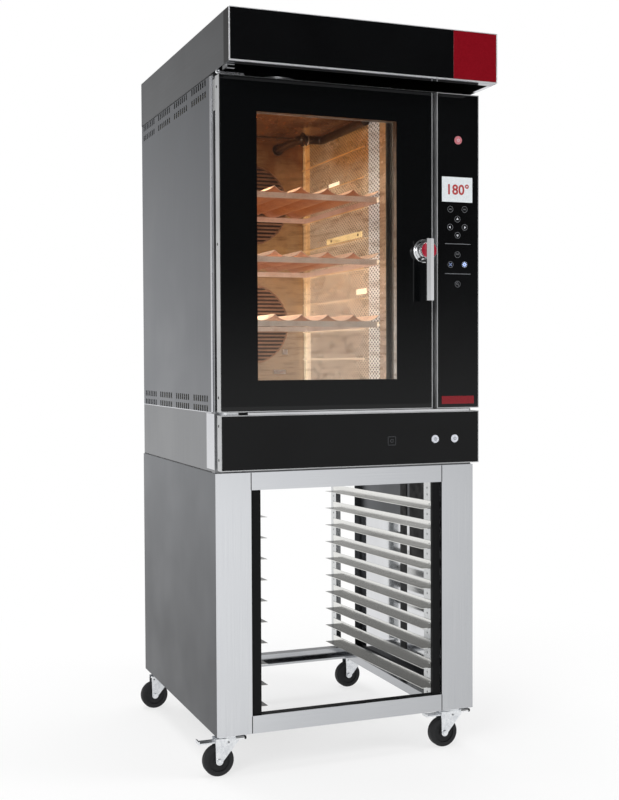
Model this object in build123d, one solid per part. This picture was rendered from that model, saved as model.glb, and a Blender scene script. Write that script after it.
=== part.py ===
from build123d import *
import math
import os

os.makedirs("parts", exist_ok=True)

# All sizes are in millimetres. While modelling, x runs to the right, y to the
# back and z up, with x = 0 in the middle of the stand, y = 0 on its front face
# and z = 0 on the floor. The written pieces are moved to the footprint's centre.
origin_x = 20
origin_y = -400

# Sheet metal and fits; cut_over is how far a cutting shape runs past a face
sheet = 1.5
seat_gap = 0.3
run_gap = 0.05
cut_over = 1

# Castors
wheel_d = 100
wheel_w = 32
wheel_round = 7
wheel_dish_r = 34
wheel_dish_depth = 4
wheel_dish_hub_r = 17
wheel_hub_r = 12
wheel_head_gap = 18.7
castor_trail = 38
castor_inset = 54
castor_front = 47
castor_rear = 68
plate_x = 95
plate_y = 85
plate_t = 4
plate_corner = 8
race_r = 28
race_h = 9
race_chamfer = 3
fork_t = 3
fork_side_gap = 2
fork_head_r = 27
fork_skirt = 6
axle_r = 5
axle_boss_r = 12
axle_head_r = 8
axle_head_t = 5
kingpin_r = 6
kingpin_out = 8
kingpin_nut_r = 9
kingpin_nut_out = 3

# Brake pedals
pedal_reach = 64
pedal_t = 4
pedal_tail = 7
pedal_toe_up = 6
pedal_side_gap = 1
pedal_boss_r = 6
pedal_pin_r = 3
pedal_pin_back = 4
pedal_wheel_gap = 11
pedal_leg_reach = 9
pedal_leg_drop = 12

# Tray rack in the stand
rack_tray_w = 600
rack_side_play = 12
rack_low_gap = 5
rack_top_space = 146
runner_t = 1.5
runner_web = 25
runner_corner = 14
runner_hole_r = 4
runner_hole_y = 20
runner_flange = 38
runner_start = 24
runner_back = 49
runner_fall = 26
runner_levels = 10
runner_pitch = 67.5
upright_w = 50
upright_d = 20
upright_back = 22
upright_gap = 3.5
upright_hole_r = 3.5
upright_holes_per_level = 3

# Stand
post_w = 117
post_d = 38
post_lip = 22
front_rail_h = 56
front_rail_d = 34
skin_flange = 90
skin_top_flange = 38
skin_back_flange = 28
side_rail_h = 30
side_rail_back = 40
side_rail_gap = 1
side_rail_seat = 8.5
crossbar_h = 45
crossbar_d = 40
crossbar_lip = 8
crossbar_back = 110
strip_w = 28
strip_t = 12
strip_y = 6
strip_gap = 5

# Baking trays in the oven
tray_w = 457
tray_d = 660
tray_front = 50
tray_channels = 5
tray_t = 1.2
tray_frame_h = 18
tray_channel_h = 20
tray_bar_t = 4
tray_levels = (1, 3, 5)

# Side racks in the cavity
rack_plate_t = 1.2
rack_levels = 8
rack_pitch = 102.5
rack_first = 115.5
rack_ledge = 15
rack_ledge_t = 1.5
rack_margin = 15

# Cavity
tray_side_play = 9.5
tray_back_gap = 40
cavity_side = 114
cavity_low = 56
cavity_roof = 107
cavity_top_space = 59
liner_t = 1.2
insulation_side = 62
insulation_back = 35
insulation_top = 54
insulation_gap = 0.3

# Fans, their guards, motors and heaters
baffle_t = 1.5
fan_spread = 451
guard_r = 150
guard_edge = 4
guard_slot = 7
guard_pitch = 13
guard_bar = 10
fan_r = 122
fan_ring_w = 12
fan_blade_depth = 44
fan_blade_in = 84
fan_blades = 18
fan_plate_t = 2
fan_hub_r = 22
fan_hub_depth = 18
fan_front_gap = 14
fan_back_gap = 18.5
shaft_r = 8
shaft_nose = 8
shaft_in_motor = 29
shaft_end_gap = 2
shaft_hole_gap = 4
motor_r = 60
motor_len = 58
motor_flange = 110
motor_flange_t = 4
motor_back_gap = 8.5
heater_fan_gap = 16
heater_tube_r = 4
heater_lead_r = 3
heater_lead_angle = 25
heater_gap_y = 18

# Pipe under the cavity's ceiling
pipe_r = 15
pipe_drop = 32
pipe_collar_r = 22
pipe_collar_t = 7
pipe_bend = 20
pipe_offset = 84
pipe_wall_gap = 11
pipe_back_run = 240
pipe_front_gap = 77
feed_r = 3
feed_inset = 30

# Service unit and oven casing
body_inset = 2
body_back_inset = 6.5
service_h = 188
face_y = 13
casing_y = 43
casing_flange = 25
front_frame_inset = 2
vent_groups = 4
vent_slots = 7
vent_pitch = 219
vent_slot_pitch = 25
vent_slot_w = 13
vent_slot_h = 20
vent_top_pitch = 36
vent_top_margin = 5
vent_low_pitch = 31
vent_low_margin = 3
vent_first_y = 92
louvre_rows = 10
louvre_pitch = 14
louvre_h = 6
louvre_w = 160
louvre_spread = 240

# Front panels: door, control panel and service panel
panel_inset = 2
panel_front = -48
panel_back = -10
rim_t = 2.5
glass_t = 5
neck_inset = 14
panel_low_gap = 10
panel_split = 10
door_top_gap = 15
control_w = 155
door_gap_x = 17

# Door
window_shift = 10.5
window_more_w = 2
window_rise = 47
window_drop = 61
inner_glass_t = 5
inner_glass_lap = 12
inner_glass_gap = 0.5
gasket_w = 14
gasket_inset = 13
gasket_corner = 6
hinge_x = 25
hinge_gap = 1
hinge_pin_r = 6
hinge_pin_short = 0.5
hinge_flange_r = 13
hinge_flange_t = 3.5
bracket_w = 72
bracket_t = 8
bracket_left = 13
bracket_front = 4
bracket_corner = 8

# Handle and latch
handle_from_right = 33.3
handle_z = 515
rose_r = 38
rose_ring = 6
rose_h = 6
rose_plate = 2
rose_round = 1.5
hub_len = 39.7
hub_r_back = 25
hub_r_front = 28.5
cap_r = 26.5
cap_t = 2.5
cap_proud = 1
bar_w = 25
bar_t = 12
bar_ridge = 4
bar_up = 37
bar_len = 200
handle_shaft_r = 9
handle_shaft_out = 1
tongue_len = 34
tongue_w = 16
tongue_t = 5
tongue_gap = 0.5
tongue_boss_r = 12
keeper_gap = 2
keeper_front = 2
keeper_t = 4
keeper_w = 22
keeper_h = 34
keeper_drop = 22
keeper_foot = 3

# Buttons
power_r = 13.5
power_x = 77.5
power_z = 883
service_button_r = 13
service_buttons_x = (163, 91)
service_button_z = 82
button_gap = 0.35
button_proud = 3
button_head = 7
button_round = 1
button_stem_r = 5
button_stem_out = 4

# Hood
hood_over = 1
hood_reach = 116
hood_h = 159
fascia_t = 6
hood_return = 30
duct_r = 75
duct_h = 60
duct_back = 234.5
filter_t = 8
filter_d = 150
filter_z = 92

# Connections on the back panel
gland_r = 15
gland_bore_r = 9
gland_len = 24
inlet_r = 13.2
inlet_bore_r = 9
inlet_len = 20
drain_r = 25
drain_t = 2
drain_len = 30
fitting_flange_t = 3
fitting_flange_w = 8
gland_from_right = 72
inlet_from_right = 202
fitting_z = 84

# Widths, worked out from the rack to the outside
rack_x = rack_tray_w / 2 + rack_side_play + runner_t
post_x = rack_x + upright_d + upright_gap
half_stand = post_x + post_w
half_body = half_stand - body_inset
half_panel = half_body - panel_inset
half_hood = half_body + hood_over
control_x0 = half_panel - control_w
door_x0 = -half_panel
door_x1 = control_x0 - door_gap_x
cavity_x0 = -half_body + cavity_side
cavity_x1 = cavity_x0 + tray_w + 2 * tray_side_play
cavity_mid = (cavity_x0 + cavity_x1) / 2

# Heights, from the floor upwards
wheel_r = wheel_d / 2
fork_plate_z0 = wheel_d + wheel_head_gap
fork_top = fork_plate_z0 + fork_t
race_z0 = fork_top + seat_gap
plate_z0 = race_z0 + race_h
pedal_pin_z = wheel_d + pedal_wheel_gap
stand_bottom = plate_z0 + plate_t
runner_low = stand_bottom + crossbar_h + rack_low_gap + runner_fall + runner_t
runner_top = runner_low + (runner_levels - 1) * runner_pitch
stand_top = runner_top + rack_top_space
service_top = stand_top + service_h
cavity_z0 = service_top + cavity_low
rack_z = [cavity_z0 + rack_first + i * rack_pitch for i in range(rack_levels)]
cavity_z1 = rack_z[-1] + cavity_roof
oven_top_z = cavity_z1 + cavity_top_space
hood_top = oven_top_z + hood_h
service_panel_z0 = stand_top + panel_low_gap
service_panel_z1 = service_top - panel_split / 2
door_z0 = service_top + panel_split / 2
door_z1 = oven_top_z - door_top_gap
fan_z = [(cavity_z0 + cavity_z1) / 2 + s * fan_spread / 2 for s in (-1, 1)]

# Depths, from the trays to the back
baffle_y = tray_front + tray_d + tray_back_gap
fan_y0 = baffle_y + baffle_t + fan_front_gap
fan_y1 = fan_y0 + fan_blade_depth
cavity_back = fan_y1 + fan_plate_t + fan_back_gap
insulation_y1 = cavity_back + liner_t + insulation_back
motor_y0 = insulation_y1 + seat_gap
body_back = motor_y0 + motor_len + motor_back_gap + sheet
stand_d = body_back + body_back_inset
runner_len = stand_d - runner_start - runner_back
duct_y = body_back - duct_back

parts = {}


def box(x0, x1, y0, y1, z0, z1):
    centre = Pos((x0 + x1) / 2, (y0 + y1) / 2, (z0 + z1) / 2)
    return centre * Box(x1 - x0, y1 - y0, z1 - z0)


def rod_x(x0, x1, y, z, r):
    return Pos((x0 + x1) / 2, y, z) * Rot(0, 90, 0) * Cylinder(r, x1 - x0)


def rod_y(x, y0, y1, z, r):
    return Pos(x, (y0 + y1) / 2, z) * Rot(90, 0, 0) * Cylinder(r, y1 - y0)


def rod_z(x, y, z0, z1, r):
    return Pos(x, y, (z0 + z1) / 2) * Cylinder(r, z1 - z0)


def cone_y(x, y0, y1, z, r0, r1):
    # A round taper along y, with radius r0 at y0 and r1 at y1.
    return Pos(x, (y0 + y1) / 2, z) * Rot(-90, 0, 0) * Cone(r0, r1, y1 - y0)


def hole_x(x0, x1, y, z, r):
    return rod_x(x0 - cut_over, x1 + cut_over, y, z, r)


def hole_y(x, y0, y1, z, r):
    return rod_y(x, y0 - cut_over, y1 + cut_over, z, r)


def hole_z(x, y, z0, z1, r):
    return rod_z(x, y, z0 - cut_over, z1 + cut_over, r)


def both_sides(shape):
    # The same piece on the right and, as its mirror image, on the left.
    return [shape, mirror(shape, about=Plane.YZ)]


def add_part(name, *solids):
    found = []
    for item in solids:
        found += item.solids()
    parts[name] = found


# Castor plates with their swivel races, kingpins and nuts
castor_x = half_stand - castor_inset
castor_places = {
    "front_left": (-castor_x, castor_front),
    "front_right": (castor_x, castor_front),
    "rear_left": (-castor_x, stand_d - castor_rear),
    "rear_right": (castor_x, stand_d - castor_rear),
}
kingpin_z0 = fork_plate_z0 - kingpin_out
fork_in = wheel_w / 2 + fork_side_gap
fork_out = fork_in + fork_t


def castor_plate(x, y):
    half_x = plate_x / 2
    half_y = plate_y / 2
    plate = box(x - half_x, x + half_x, y - half_y, y + half_y, plate_z0, stand_bottom)
    plate = fillet(plate.edges().filter_by(Axis.Z), plate_corner)
    race = rod_z(x, y, race_z0, plate_z0, race_r)
    race = chamfer(race.edges().sort_by(Axis.Z)[0], race_chamfer)
    kingpin = rod_z(x, y, kingpin_z0, plate_z0, kingpin_r)
    nut = rod_z(x, y, kingpin_z0 - kingpin_nut_out, fork_plate_z0 - seat_gap, kingpin_nut_r)
    return plate + race + kingpin + nut


add_part("castor_plates", *[castor_plate(x, y) for x, y in castor_places.values()])


# Swivel forks: a head under the race and two tapered legs down to the axle
def castor_fork(x, y):
    axle_x = x - castor_trail
    pin_x = axle_x - pedal_pin_back
    leg = Plane.XZ * Polygon(
        (axle_x - axle_boss_r, wheel_r),
        (pin_x - pedal_leg_reach, pedal_pin_z - pedal_leg_drop),
        (pin_x - pedal_leg_reach, fork_top),
        (x + fork_head_r, fork_top),
        (x + fork_head_r, fork_plate_z0 - fork_skirt),
        (axle_x + axle_boss_r, wheel_r),
        align=None,
    )
    leg += Plane.XZ * Pos(axle_x, wheel_r) * Circle(axle_boss_r)
    leg = extrude(leg, amount=fork_t, dir=(0, -1, 0))
    near = Pos(0, y - fork_in, 0) * leg
    far = Pos(0, y + fork_out, 0) * leg
    head = box(x - fork_head_r, x + fork_head_r, y - fork_out, y + fork_out, fork_plate_z0, fork_top)
    fork = near + far + head
    fork -= hole_z(x, y, fork_plate_z0, fork_top, kingpin_r + run_gap)
    fork -= hole_y(axle_x, y - fork_out, y + fork_out, wheel_r, axle_r + run_gap)
    fork -= hole_y(pin_x, y - fork_out, y + fork_out, pedal_pin_z, pedal_pin_r + run_gap)
    return fork


def castor_axle(x, y):
    axle_x = x - castor_trail
    end = fork_out + seat_gap
    head = end + axle_head_t
    axle = rod_y(axle_x, y - end, y + end, wheel_r, axle_r)
    axle += rod_y(axle_x, y - head, y - end, wheel_r, axle_head_r)
    axle += rod_y(axle_x, y + end, y + head, wheel_r, axle_head_r)
    return axle


# Wheels: a solid tyre, dished on both sides, and a wider hub
def castor_wheel(x, y):
    axle_x = x - castor_trail
    half = wheel_w / 2
    tyre = rod_y(axle_x, y - half, y + half, wheel_r, wheel_r)
    tyre = fillet(tyre.edges().filter_by(GeomType.CIRCLE), wheel_round)
    for y0, y1 in ((-half - cut_over, wheel_dish_depth - half), (half - wheel_dish_depth, half + cut_over)):
        dish = rod_y(axle_x, y + y0, y + y1, wheel_r, wheel_dish_r)
        dish -= rod_y(axle_x, y + y0, y + y1, wheel_r, wheel_dish_hub_r)
        tyre -= dish
    hub = fork_in - seat_gap
    tyre += rod_y(axle_x, y - hub, y + hub, wheel_r, wheel_hub_r)
    return tyre - hole_y(axle_x, y - hub, y + hub, wheel_r, axle_r + run_gap)


# Brake pedals: a tongue between the fork legs with a turned-up toe
def brake_pedal(x, y):
    pin_x = x - castor_trail - pedal_pin_back
    half = fork_in - pedal_side_gap
    z1 = pedal_pin_z + pedal_t / 2
    toe = pin_x - pedal_reach
    pedal = box(toe, pin_x + pedal_tail, y - half, y + half, z1 - pedal_t, z1)
    pedal += box(toe, toe + pedal_t, y - half, y + half, z1 - pedal_t, z1 + pedal_toe_up)
    pedal += rod_y(pin_x, y - half, y + half, pedal_pin_z, pedal_boss_r)
    return pedal + rod_y(pin_x, y - fork_out, y + fork_out, pedal_pin_z, pedal_pin_r)


for place, (cx, cy) in castor_places.items():
    add_part("castor_fork_" + place, castor_fork(cx, cy), castor_axle(cx, cy))
    add_part("castor_wheel_" + place, castor_wheel(cx, cy))
    if place.startswith("front"):
        add_part("brake_pedal_" + place, brake_pedal(cx, cy))


# Stand skins: side sheets with flanges at the bottom, top and back
def stand_skin():
    x1 = half_stand
    skin = box(x1 - sheet, x1, sheet, stand_d, stand_bottom, stand_top)
    skin += box(x1 - skin_flange, x1, sheet, stand_d, stand_bottom, stand_bottom + sheet)
    skin += box(x1 - skin_top_flange, x1, post_d, stand_d, stand_top - sheet, stand_top)
    skin += box(x1 - skin_back_flange, x1, stand_d - sheet, stand_d, stand_bottom, stand_top)
    return skin


add_part("stand_skins", *both_sides(stand_skin()))


# Stand posts: a broad front face with two returns on its inner edge
def stand_post():
    x0 = post_x
    post = box(x0, half_stand, 0, sheet, stand_bottom, stand_top)
    post += box(x0, x0 + sheet, 0, post_d, stand_bottom, stand_top)
    post += box(x0, x0 + post_lip, post_d - sheet, post_d, stand_bottom, stand_top)
    return post


add_part("stand_posts", *both_sides(stand_post()))


# Stand rails: front rails, side rails at the bottom and top, and the crossbars
def front_rail(z0):
    z1 = z0 + front_rail_h
    rail = box(-post_x, post_x, 0, sheet, z0, z1)
    rail += box(-post_x, post_x, 0, front_rail_d, z0, z0 + sheet)
    rail += box(-post_x, post_x, 0, front_rail_d, z1 - sheet, z1)
    return rail


side_rail_x0 = rack_x + upright_d - side_rail_seat
side_rail_x1 = half_stand - skin_flange - side_rail_gap
side_rail_y1 = stand_d - side_rail_back
top_rail_z = stand_top - side_rail_h


def side_rail(z0):
    z1 = z0 + side_rail_h
    rail = box(side_rail_x0, side_rail_x0 + sheet, post_d, side_rail_y1, z0, z1)
    rail += box(side_rail_x0, side_rail_x1, post_d, side_rail_y1, z0, z0 + sheet)
    rail += box(side_rail_x0, side_rail_x1, post_d, side_rail_y1, z1 - sheet, z1)
    return rail


def crossbar(y1, z0, height):
    x1 = side_rail_x0
    y0 = y1 - crossbar_d
    z1 = z0 + height
    bar = box(-x1, x1, y1 - sheet, y1, z0, z1)
    bar += box(-x1, x1, y0, y1, z0, z0 + sheet)
    bar += box(-x1, x1, y0, y1, z1 - sheet, z1)
    bar += box(-x1, x1, y0, y0 + sheet, z0, z0 + crossbar_lip)
    return bar


add_part(
    "stand_rails",
    front_rail(stand_bottom),
    front_rail(stand_top - front_rail_h),
    *both_sides(side_rail(stand_bottom)),
    *both_sides(side_rail(top_rail_z)),
    crossbar(stand_d - crossbar_back, stand_bottom, crossbar_h),
    crossbar(side_rail_y1, top_rail_z, side_rail_h),
)

# Black strips beside the posts, between the two front rails
strip_x1 = post_x - strip_gap
strip_z0 = stand_bottom + front_rail_h
strip_z1 = stand_top - front_rail_h
strip = box(strip_x1 - strip_w, strip_x1, strip_y, strip_y + strip_t, strip_z0, strip_z1)
add_part("stand_edge_strips", *both_sides(strip))

# Uprights: perforated channels that carry the runners
upright_z0 = stand_bottom + side_rail_h
upright_z1 = top_rail_z


def upright(y0):
    y1 = y0 + upright_w
    x1 = rack_x + upright_d
    bar = box(rack_x, rack_x + sheet, y0, y1, upright_z0, upright_z1)
    bar += box(rack_x, x1, y0, y0 + sheet, upright_z0, upright_z1)
    bar += box(rack_x, x1, y1 - sheet, y1, upright_z0, upright_z1)
    pitch = runner_pitch / upright_holes_per_level
    count = int((upright_z1 - upright_z0) / pitch) - 1
    for i in range(count):
        z = upright_z0 + pitch * (i + 1)
        bar -= hole_x(rack_x, rack_x + sheet, (y0 + y1) / 2, z, upright_hole_r)
    return bar


rear_upright_y = stand_d - upright_back - upright_w
add_part(
    "rack_uprights",
    *both_sides(upright(post_d)),
    *both_sides(upright(rear_upright_y)),
)

# Runners: angles that fall a little to the back, so that trays stay in
fall_angle = math.degrees(math.asin(runner_fall / runner_len))


def runner(level):
    x0 = rack_x - runner_t
    web = box(x0, rack_x, 0, runner_len, 0, runner_web)
    corner = web.edges().filter_by(Axis.X).sort_by(lambda e: e.center().Y - e.center().Z)[0]
    web = fillet(corner, min(runner_corner, runner_web - runner_t))
    web -= hole_x(x0, rack_x, runner_hole_y, runner_web / 2, runner_hole_r)
    flange = box(rack_x - runner_flange, rack_x, 0, runner_len, 0, runner_t)
    z = runner_low - runner_t + level * runner_pitch
    return Pos(0, runner_start, z) * Rot(-fall_angle, 0, 0) * (web + flange)


pairs = [both_sides(runner(i)) for i in range(runner_levels)]
add_part("rack_runners_right", *[pair[0] for pair in pairs])
add_part("rack_runners_left", *[pair[1] for pair in pairs])


# Service unit: a sheet shell that is open at the back
service = box(-half_body, half_body, face_y, body_back - sheet, stand_top, service_top)
service -= box(
    -half_body + sheet,
    half_body - sheet,
    face_y + sheet,
    body_back,
    stand_top + sheet,
    service_top - sheet,
)


# Panel trays: a rim round a pane, a back sheet and a narrower neck to the oven
def panel_tray(x0, x1, z0, z1):
    t = rim_t
    tray = box(x0, x1, panel_front, panel_back, z0, z1)
    tray -= box(x0 + t, x1 - t, panel_front - cut_over, panel_back - sheet, z0 + t, z1 - t)
    n = neck_inset
    neck = box(x0 + n, x1 - n, panel_back, face_y, z0 + n, z1 - n)
    m = n + sheet
    neck -= box(x0 + m, x1 - m, panel_back, face_y, z0 + m, z1 - m)
    return tray + neck


def pane(x0, x1, z0, z1):
    g = rim_t + seat_gap
    return box(x0 + g, x1 - g, panel_front, panel_front + glass_t, z0 + g, z1 - g)


# Push buttons: a head in the pane and a stem through the tray's back sheet
def button(x, z, r):
    front = panel_front - button_proud
    head = rod_y(x, front, front + button_head, z, r)
    head = fillet(head.edges().sort_by(Axis.Y)[0], button_round)
    return head + rod_y(x, front + button_head, panel_back + button_stem_out, z, button_stem_r)


def pane_hole(x, z, r):
    return hole_y(x, panel_front, panel_front + glass_t, z, r + button_gap)


def stem_hole(x, z):
    return hole_y(x, panel_back - sheet, panel_back, z, button_stem_r + run_gap)


service_panel = panel_tray(-half_panel, half_panel, service_panel_z0, service_panel_z1)
service_glass = pane(-half_panel, half_panel, service_panel_z0, service_panel_z1)
service_z = service_panel_z0 + service_button_z
for side, from_right in zip(("left", "right"), service_buttons_x):
    x = half_panel - from_right
    service_glass -= pane_hole(x, service_z, service_button_r)
    service_panel -= stem_hole(x, service_z)
    add_part("service_button_" + side, button(x, service_z, service_button_r))
add_part("service_shell", service)
add_part("service_panel", service_panel)
add_part("service_glass", service_glass)

control_panel = panel_tray(control_x0, half_panel, door_z0, door_z1)
control_glass = pane(control_x0, half_panel, door_z0, door_z1)
button_x = control_x0 + power_x
button_z = door_z0 + power_z
control_glass -= pane_hole(button_x, button_z, power_r)
control_panel -= stem_hole(button_x, button_z)
add_part("power_button", button(button_x, button_z, power_r))
add_part("control_panel", control_panel)
add_part("control_glass", control_glass)


# Oven side panels: sheets with inward flanges and two double rows of vents
def vents(x0, x1):
    half_w = vent_slot_w / 2
    half_h = vent_slot_h / 2
    rows = []
    for k in (0, 1):
        rows.append(service_top + vent_low_margin + half_h + k * vent_low_pitch)
        rows.append(oven_top_z - vent_top_margin - half_h - k * vent_top_pitch)
    cut = []
    for group in range(vent_groups):
        for slot in range(vent_slots):
            y = vent_first_y + group * vent_pitch + slot * vent_slot_pitch
            for z in rows:
                cut.append(box(x0 - cut_over, x1 + cut_over, y - half_w, y + half_w, z - half_h, z + half_h))
    return cut


def oven_side():
    x1 = half_body
    x0 = x1 - sheet
    y1 = body_back - sheet
    side = box(x0, x1, casing_y, y1, service_top, oven_top_z)
    side += box(x1 - casing_flange, x1, casing_y, y1, service_top, service_top + sheet)
    side += box(x1 - casing_flange, x1, casing_y, y1, oven_top_z - sheet, oven_top_z)
    return side - vents(x0, x1)


right_side, left_side = both_sides(oven_side())
add_part("oven_side_right", right_side)
add_part("oven_side_left", left_side)

# Back panel: one sheet behind the service unit and the oven
back_y0 = body_back - sheet
back_panel = box(-half_body, half_body, back_y0, body_back, stand_top, oven_top_z)
fitting_level = stand_top + fitting_z
gland_x = half_body - gland_from_right
inlet_x = half_body - inlet_from_right
drain_x = cavity_mid
for x, r in ((gland_x, gland_bore_r), (inlet_x, inlet_bore_r), (drain_x, drain_r - drain_t)):
    back_panel -= hole_y(x, back_y0, body_back, fitting_level, r)
for fz in fan_z:
    for row in range(louvre_rows):
        z = fz + (row - (louvre_rows - 1) / 2) * louvre_pitch
        for side in (-1, 1):
            x = cavity_mid + side * louvre_spread / 2
            back_panel -= box(
                x - louvre_w / 2,
                x + louvre_w / 2,
                back_y0 - cut_over,
                body_back + cut_over,
                z - louvre_h / 2,
                z + louvre_h / 2,
            )
add_part("oven_back", back_panel)

# Front frame: a sheet tray round the cavity's mouth
frame_x = half_body - front_frame_inset
frame = box(-frame_x, frame_x, face_y, casing_y, service_top, oven_top_z)
hollow = box(
    -frame_x + sheet,
    frame_x - sheet,
    face_y + sheet,
    casing_y + cut_over,
    service_top + sheet,
    oven_top_z - sheet,
)
hollow -= box(
    cavity_x0 - sheet,
    cavity_x1 + sheet,
    face_y,
    casing_y + cut_over,
    cavity_z0 - sheet,
    cavity_z1 + sheet,
)
mouth = box(cavity_x0, cavity_x1, face_y - cut_over, casing_y + cut_over, cavity_z0, cavity_z1)
add_part("oven_front_frame", frame - hollow - mouth)

# Cavity liner: a box open at the front, with holes for the fan shafts
liner_y1 = cavity_back + liner_t
liner = box(
    cavity_x0 - liner_t,
    cavity_x1 + liner_t,
    casing_y,
    liner_y1,
    cavity_z0 - liner_t,
    cavity_z1 + liner_t,
)
liner -= box(cavity_x0, cavity_x1, casing_y - cut_over, cavity_back, cavity_z0, cavity_z1)
shaft_hole_r = shaft_r + shaft_hole_gap
for fz in fan_z:
    liner -= hole_y(cavity_mid, cavity_back, liner_y1, fz, shaft_hole_r)
add_part("cavity_liner", liner)

# Insulation: a block round the liner, clear of it all over
wrap = liner_t + insulation_gap
insulation = box(
    cavity_x0 - insulation_side,
    cavity_x1 + insulation_side,
    casing_y + insulation_gap,
    insulation_y1,
    service_top + insulation_gap,
    cavity_z1 + insulation_top,
)
insulation -= box(
    cavity_x0 - wrap,
    cavity_x1 + wrap,
    casing_y - cut_over,
    cavity_back + wrap,
    cavity_z0 - wrap,
    cavity_z1 + wrap,
)
for fz in fan_z:
    insulation -= hole_y(cavity_mid, cavity_back, insulation_y1, fz, shaft_hole_r)
add_part("insulation", insulation)

# Fan baffle: the cavity's visible back wall, with a ribbed guard over each fan
baffle_y1 = baffle_y + baffle_t
baffle = box(
    cavity_x0 + seat_gap,
    cavity_x1 - seat_gap,
    baffle_y,
    baffle_y1,
    cavity_z0 + seat_gap,
    cavity_z1 - seat_gap,
)
guard_rows = int(guard_r / guard_pitch)
slots = []
for row in range(-guard_rows, guard_rows + 1):
    reach = abs(row) * guard_pitch + guard_slot / 2
    if reach < guard_r - guard_edge:
        chord = math.sqrt(guard_r**2 - reach**2) - guard_bar / 2
        slots.append((row * guard_pitch, chord))
for fz in fan_z:
    for rise, length in slots:
        for side in (-1, 1):
            x = cavity_mid + side * (guard_bar + length) / 2
            z = fz + rise
            baffle -= box(
                x - length / 2,
                x + length / 2,
                baffle_y - cut_over,
                baffle_y1 + cut_over,
                z - guard_slot / 2,
                z + guard_slot / 2,
            )
add_part("fan_baffle", baffle)


# Fan wheels: a back plate with blades and a front ring, on a motor shaft
def fan_wheel(fz):
    x = cavity_mid
    wheel = rod_y(x, fan_y1, fan_y1 + fan_plate_t, fz, fan_r)
    ring = rod_y(x, fan_y0, fan_y0 + fan_plate_t, fz, fan_r)
    ring -= hole_y(x, fan_y0, fan_y0 + fan_plate_t, fz, fan_r - fan_ring_w)
    wheel += ring
    blade_out = fan_r - fan_plate_t / 2
    blade = Pos((blade_out + fan_blade_in) / 2, (fan_y0 + fan_y1) / 2, 0) * Box(
        blade_out - fan_blade_in, fan_blade_depth, fan_plate_t
    )
    turns = [i * 360 / fan_blades for i in range(fan_blades)]
    wheel += [Pos(x, 0, fz) * Rot(0, turn, 0) * blade for turn in turns]
    wheel += rod_y(x, fan_y1 - fan_hub_depth, fan_y1, fz, fan_hub_r)
    nose = fan_y1 - fan_hub_depth - shaft_nose
    return wheel + rod_y(x, nose, motor_y0 + shaft_in_motor, fz, shaft_r)


add_part("fan_wheel_lower", fan_wheel(fan_z[0]))
add_part("fan_wheel_upper", fan_wheel(fan_z[1]))


# Fan motors, behind the insulation
def fan_motor(fz):
    x = cavity_mid
    half = motor_flange / 2
    motor = rod_y(x, motor_y0, motor_y0 + motor_len, fz, motor_r)
    motor += box(x - half, x + half, motor_y0, motor_y0 + motor_flange_t, fz - half, fz + half)
    bore_y1 = motor_y0 + shaft_in_motor + shaft_end_gap
    return motor - rod_y(x, motor_y0 - cut_over, bore_y1, fz, shaft_r + run_gap)


add_part("fan_motors", *[fan_motor(fz) for fz in fan_z])


# Ring heaters round the fans, with their ends in the cavity's back wall
def heater(fz):
    r = fan_r + heater_fan_gap
    y0 = fan_y0 + heater_gap_y
    ring = Pos(cavity_mid, y0, fz) * Rot(90, 0, 0) * Torus(r, heater_tube_r)
    angle = math.radians(heater_lead_angle)
    for side in (-1, 1):
        x = cavity_mid + side * r * math.sin(angle)
        ring += rod_y(x, y0, cavity_back, fz + r * math.cos(angle), heater_lead_r)
    return ring


add_part("heater_rings", *[heater(fz) for fz in fan_z])


# Side racks in the cavity: plates with one ledge for each level
rack_y0 = casing_y + rack_margin
rack_y1 = baffle_y - rack_margin


def cavity_rack():
    # The left rack stands in place; the right one is turned about the middle.
    x0 = cavity_x0 + seat_gap
    x1 = x0 + rack_ledge
    rack = box(x0, x0 + rack_plate_t, rack_y0, rack_y1, cavity_z0 + rack_margin, cavity_z1 - rack_margin)
    for z in rack_z:
        rack += box(x0, x1, rack_y0, rack_y1, z - rack_ledge_t, z)
    return rack


left_rack = cavity_rack()
right_rack = mirror(left_rack, about=Plane.YZ.offset(cavity_mid))
add_part("cavity_racks", left_rack, right_rack)


# Trays: a shallow frame that carries round channels, side by side
def baguette_tray(ledge_z):
    z0 = ledge_z + seat_gap
    z1 = z0 + tray_frame_h
    x0 = cavity_mid - tray_w / 2
    x1 = x0 + tray_w
    y1 = tray_front + tray_d
    b = tray_bar_t
    frame = box(x0, x1, tray_front, y1, z0, z1)
    frame -= box(x0 + b, x1 - b, tray_front + b, y1 - b, z0 - cut_over, z1 + cut_over)
    pitch = tray_w / tray_channels
    h = tray_channel_h
    r = (pitch**2 / 4 + h**2) / (2 * h)
    top = h + 2 * tray_t
    pieces = [frame]
    for i in range(tray_channels):
        mid = x0 + (i + 0.5) * pitch
        ring = Pos(mid, z1 + r) * (Circle(r) - Circle(r - tray_t))
        arc = ring & Pos(mid, z1 + top / 2) * Rectangle(pitch, top)
        channel = extrude(Plane.XZ * arc, amount=tray_d, dir=(0, 1, 0))
        pieces.append(Pos(0, tray_front, 0) * channel)
    return pieces


tray_names = ("lower", "middle", "upper")
for name, level in zip(tray_names, tray_levels):
    add_part("baguette_tray_" + name, *baguette_tray(rack_z[level]))

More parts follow.
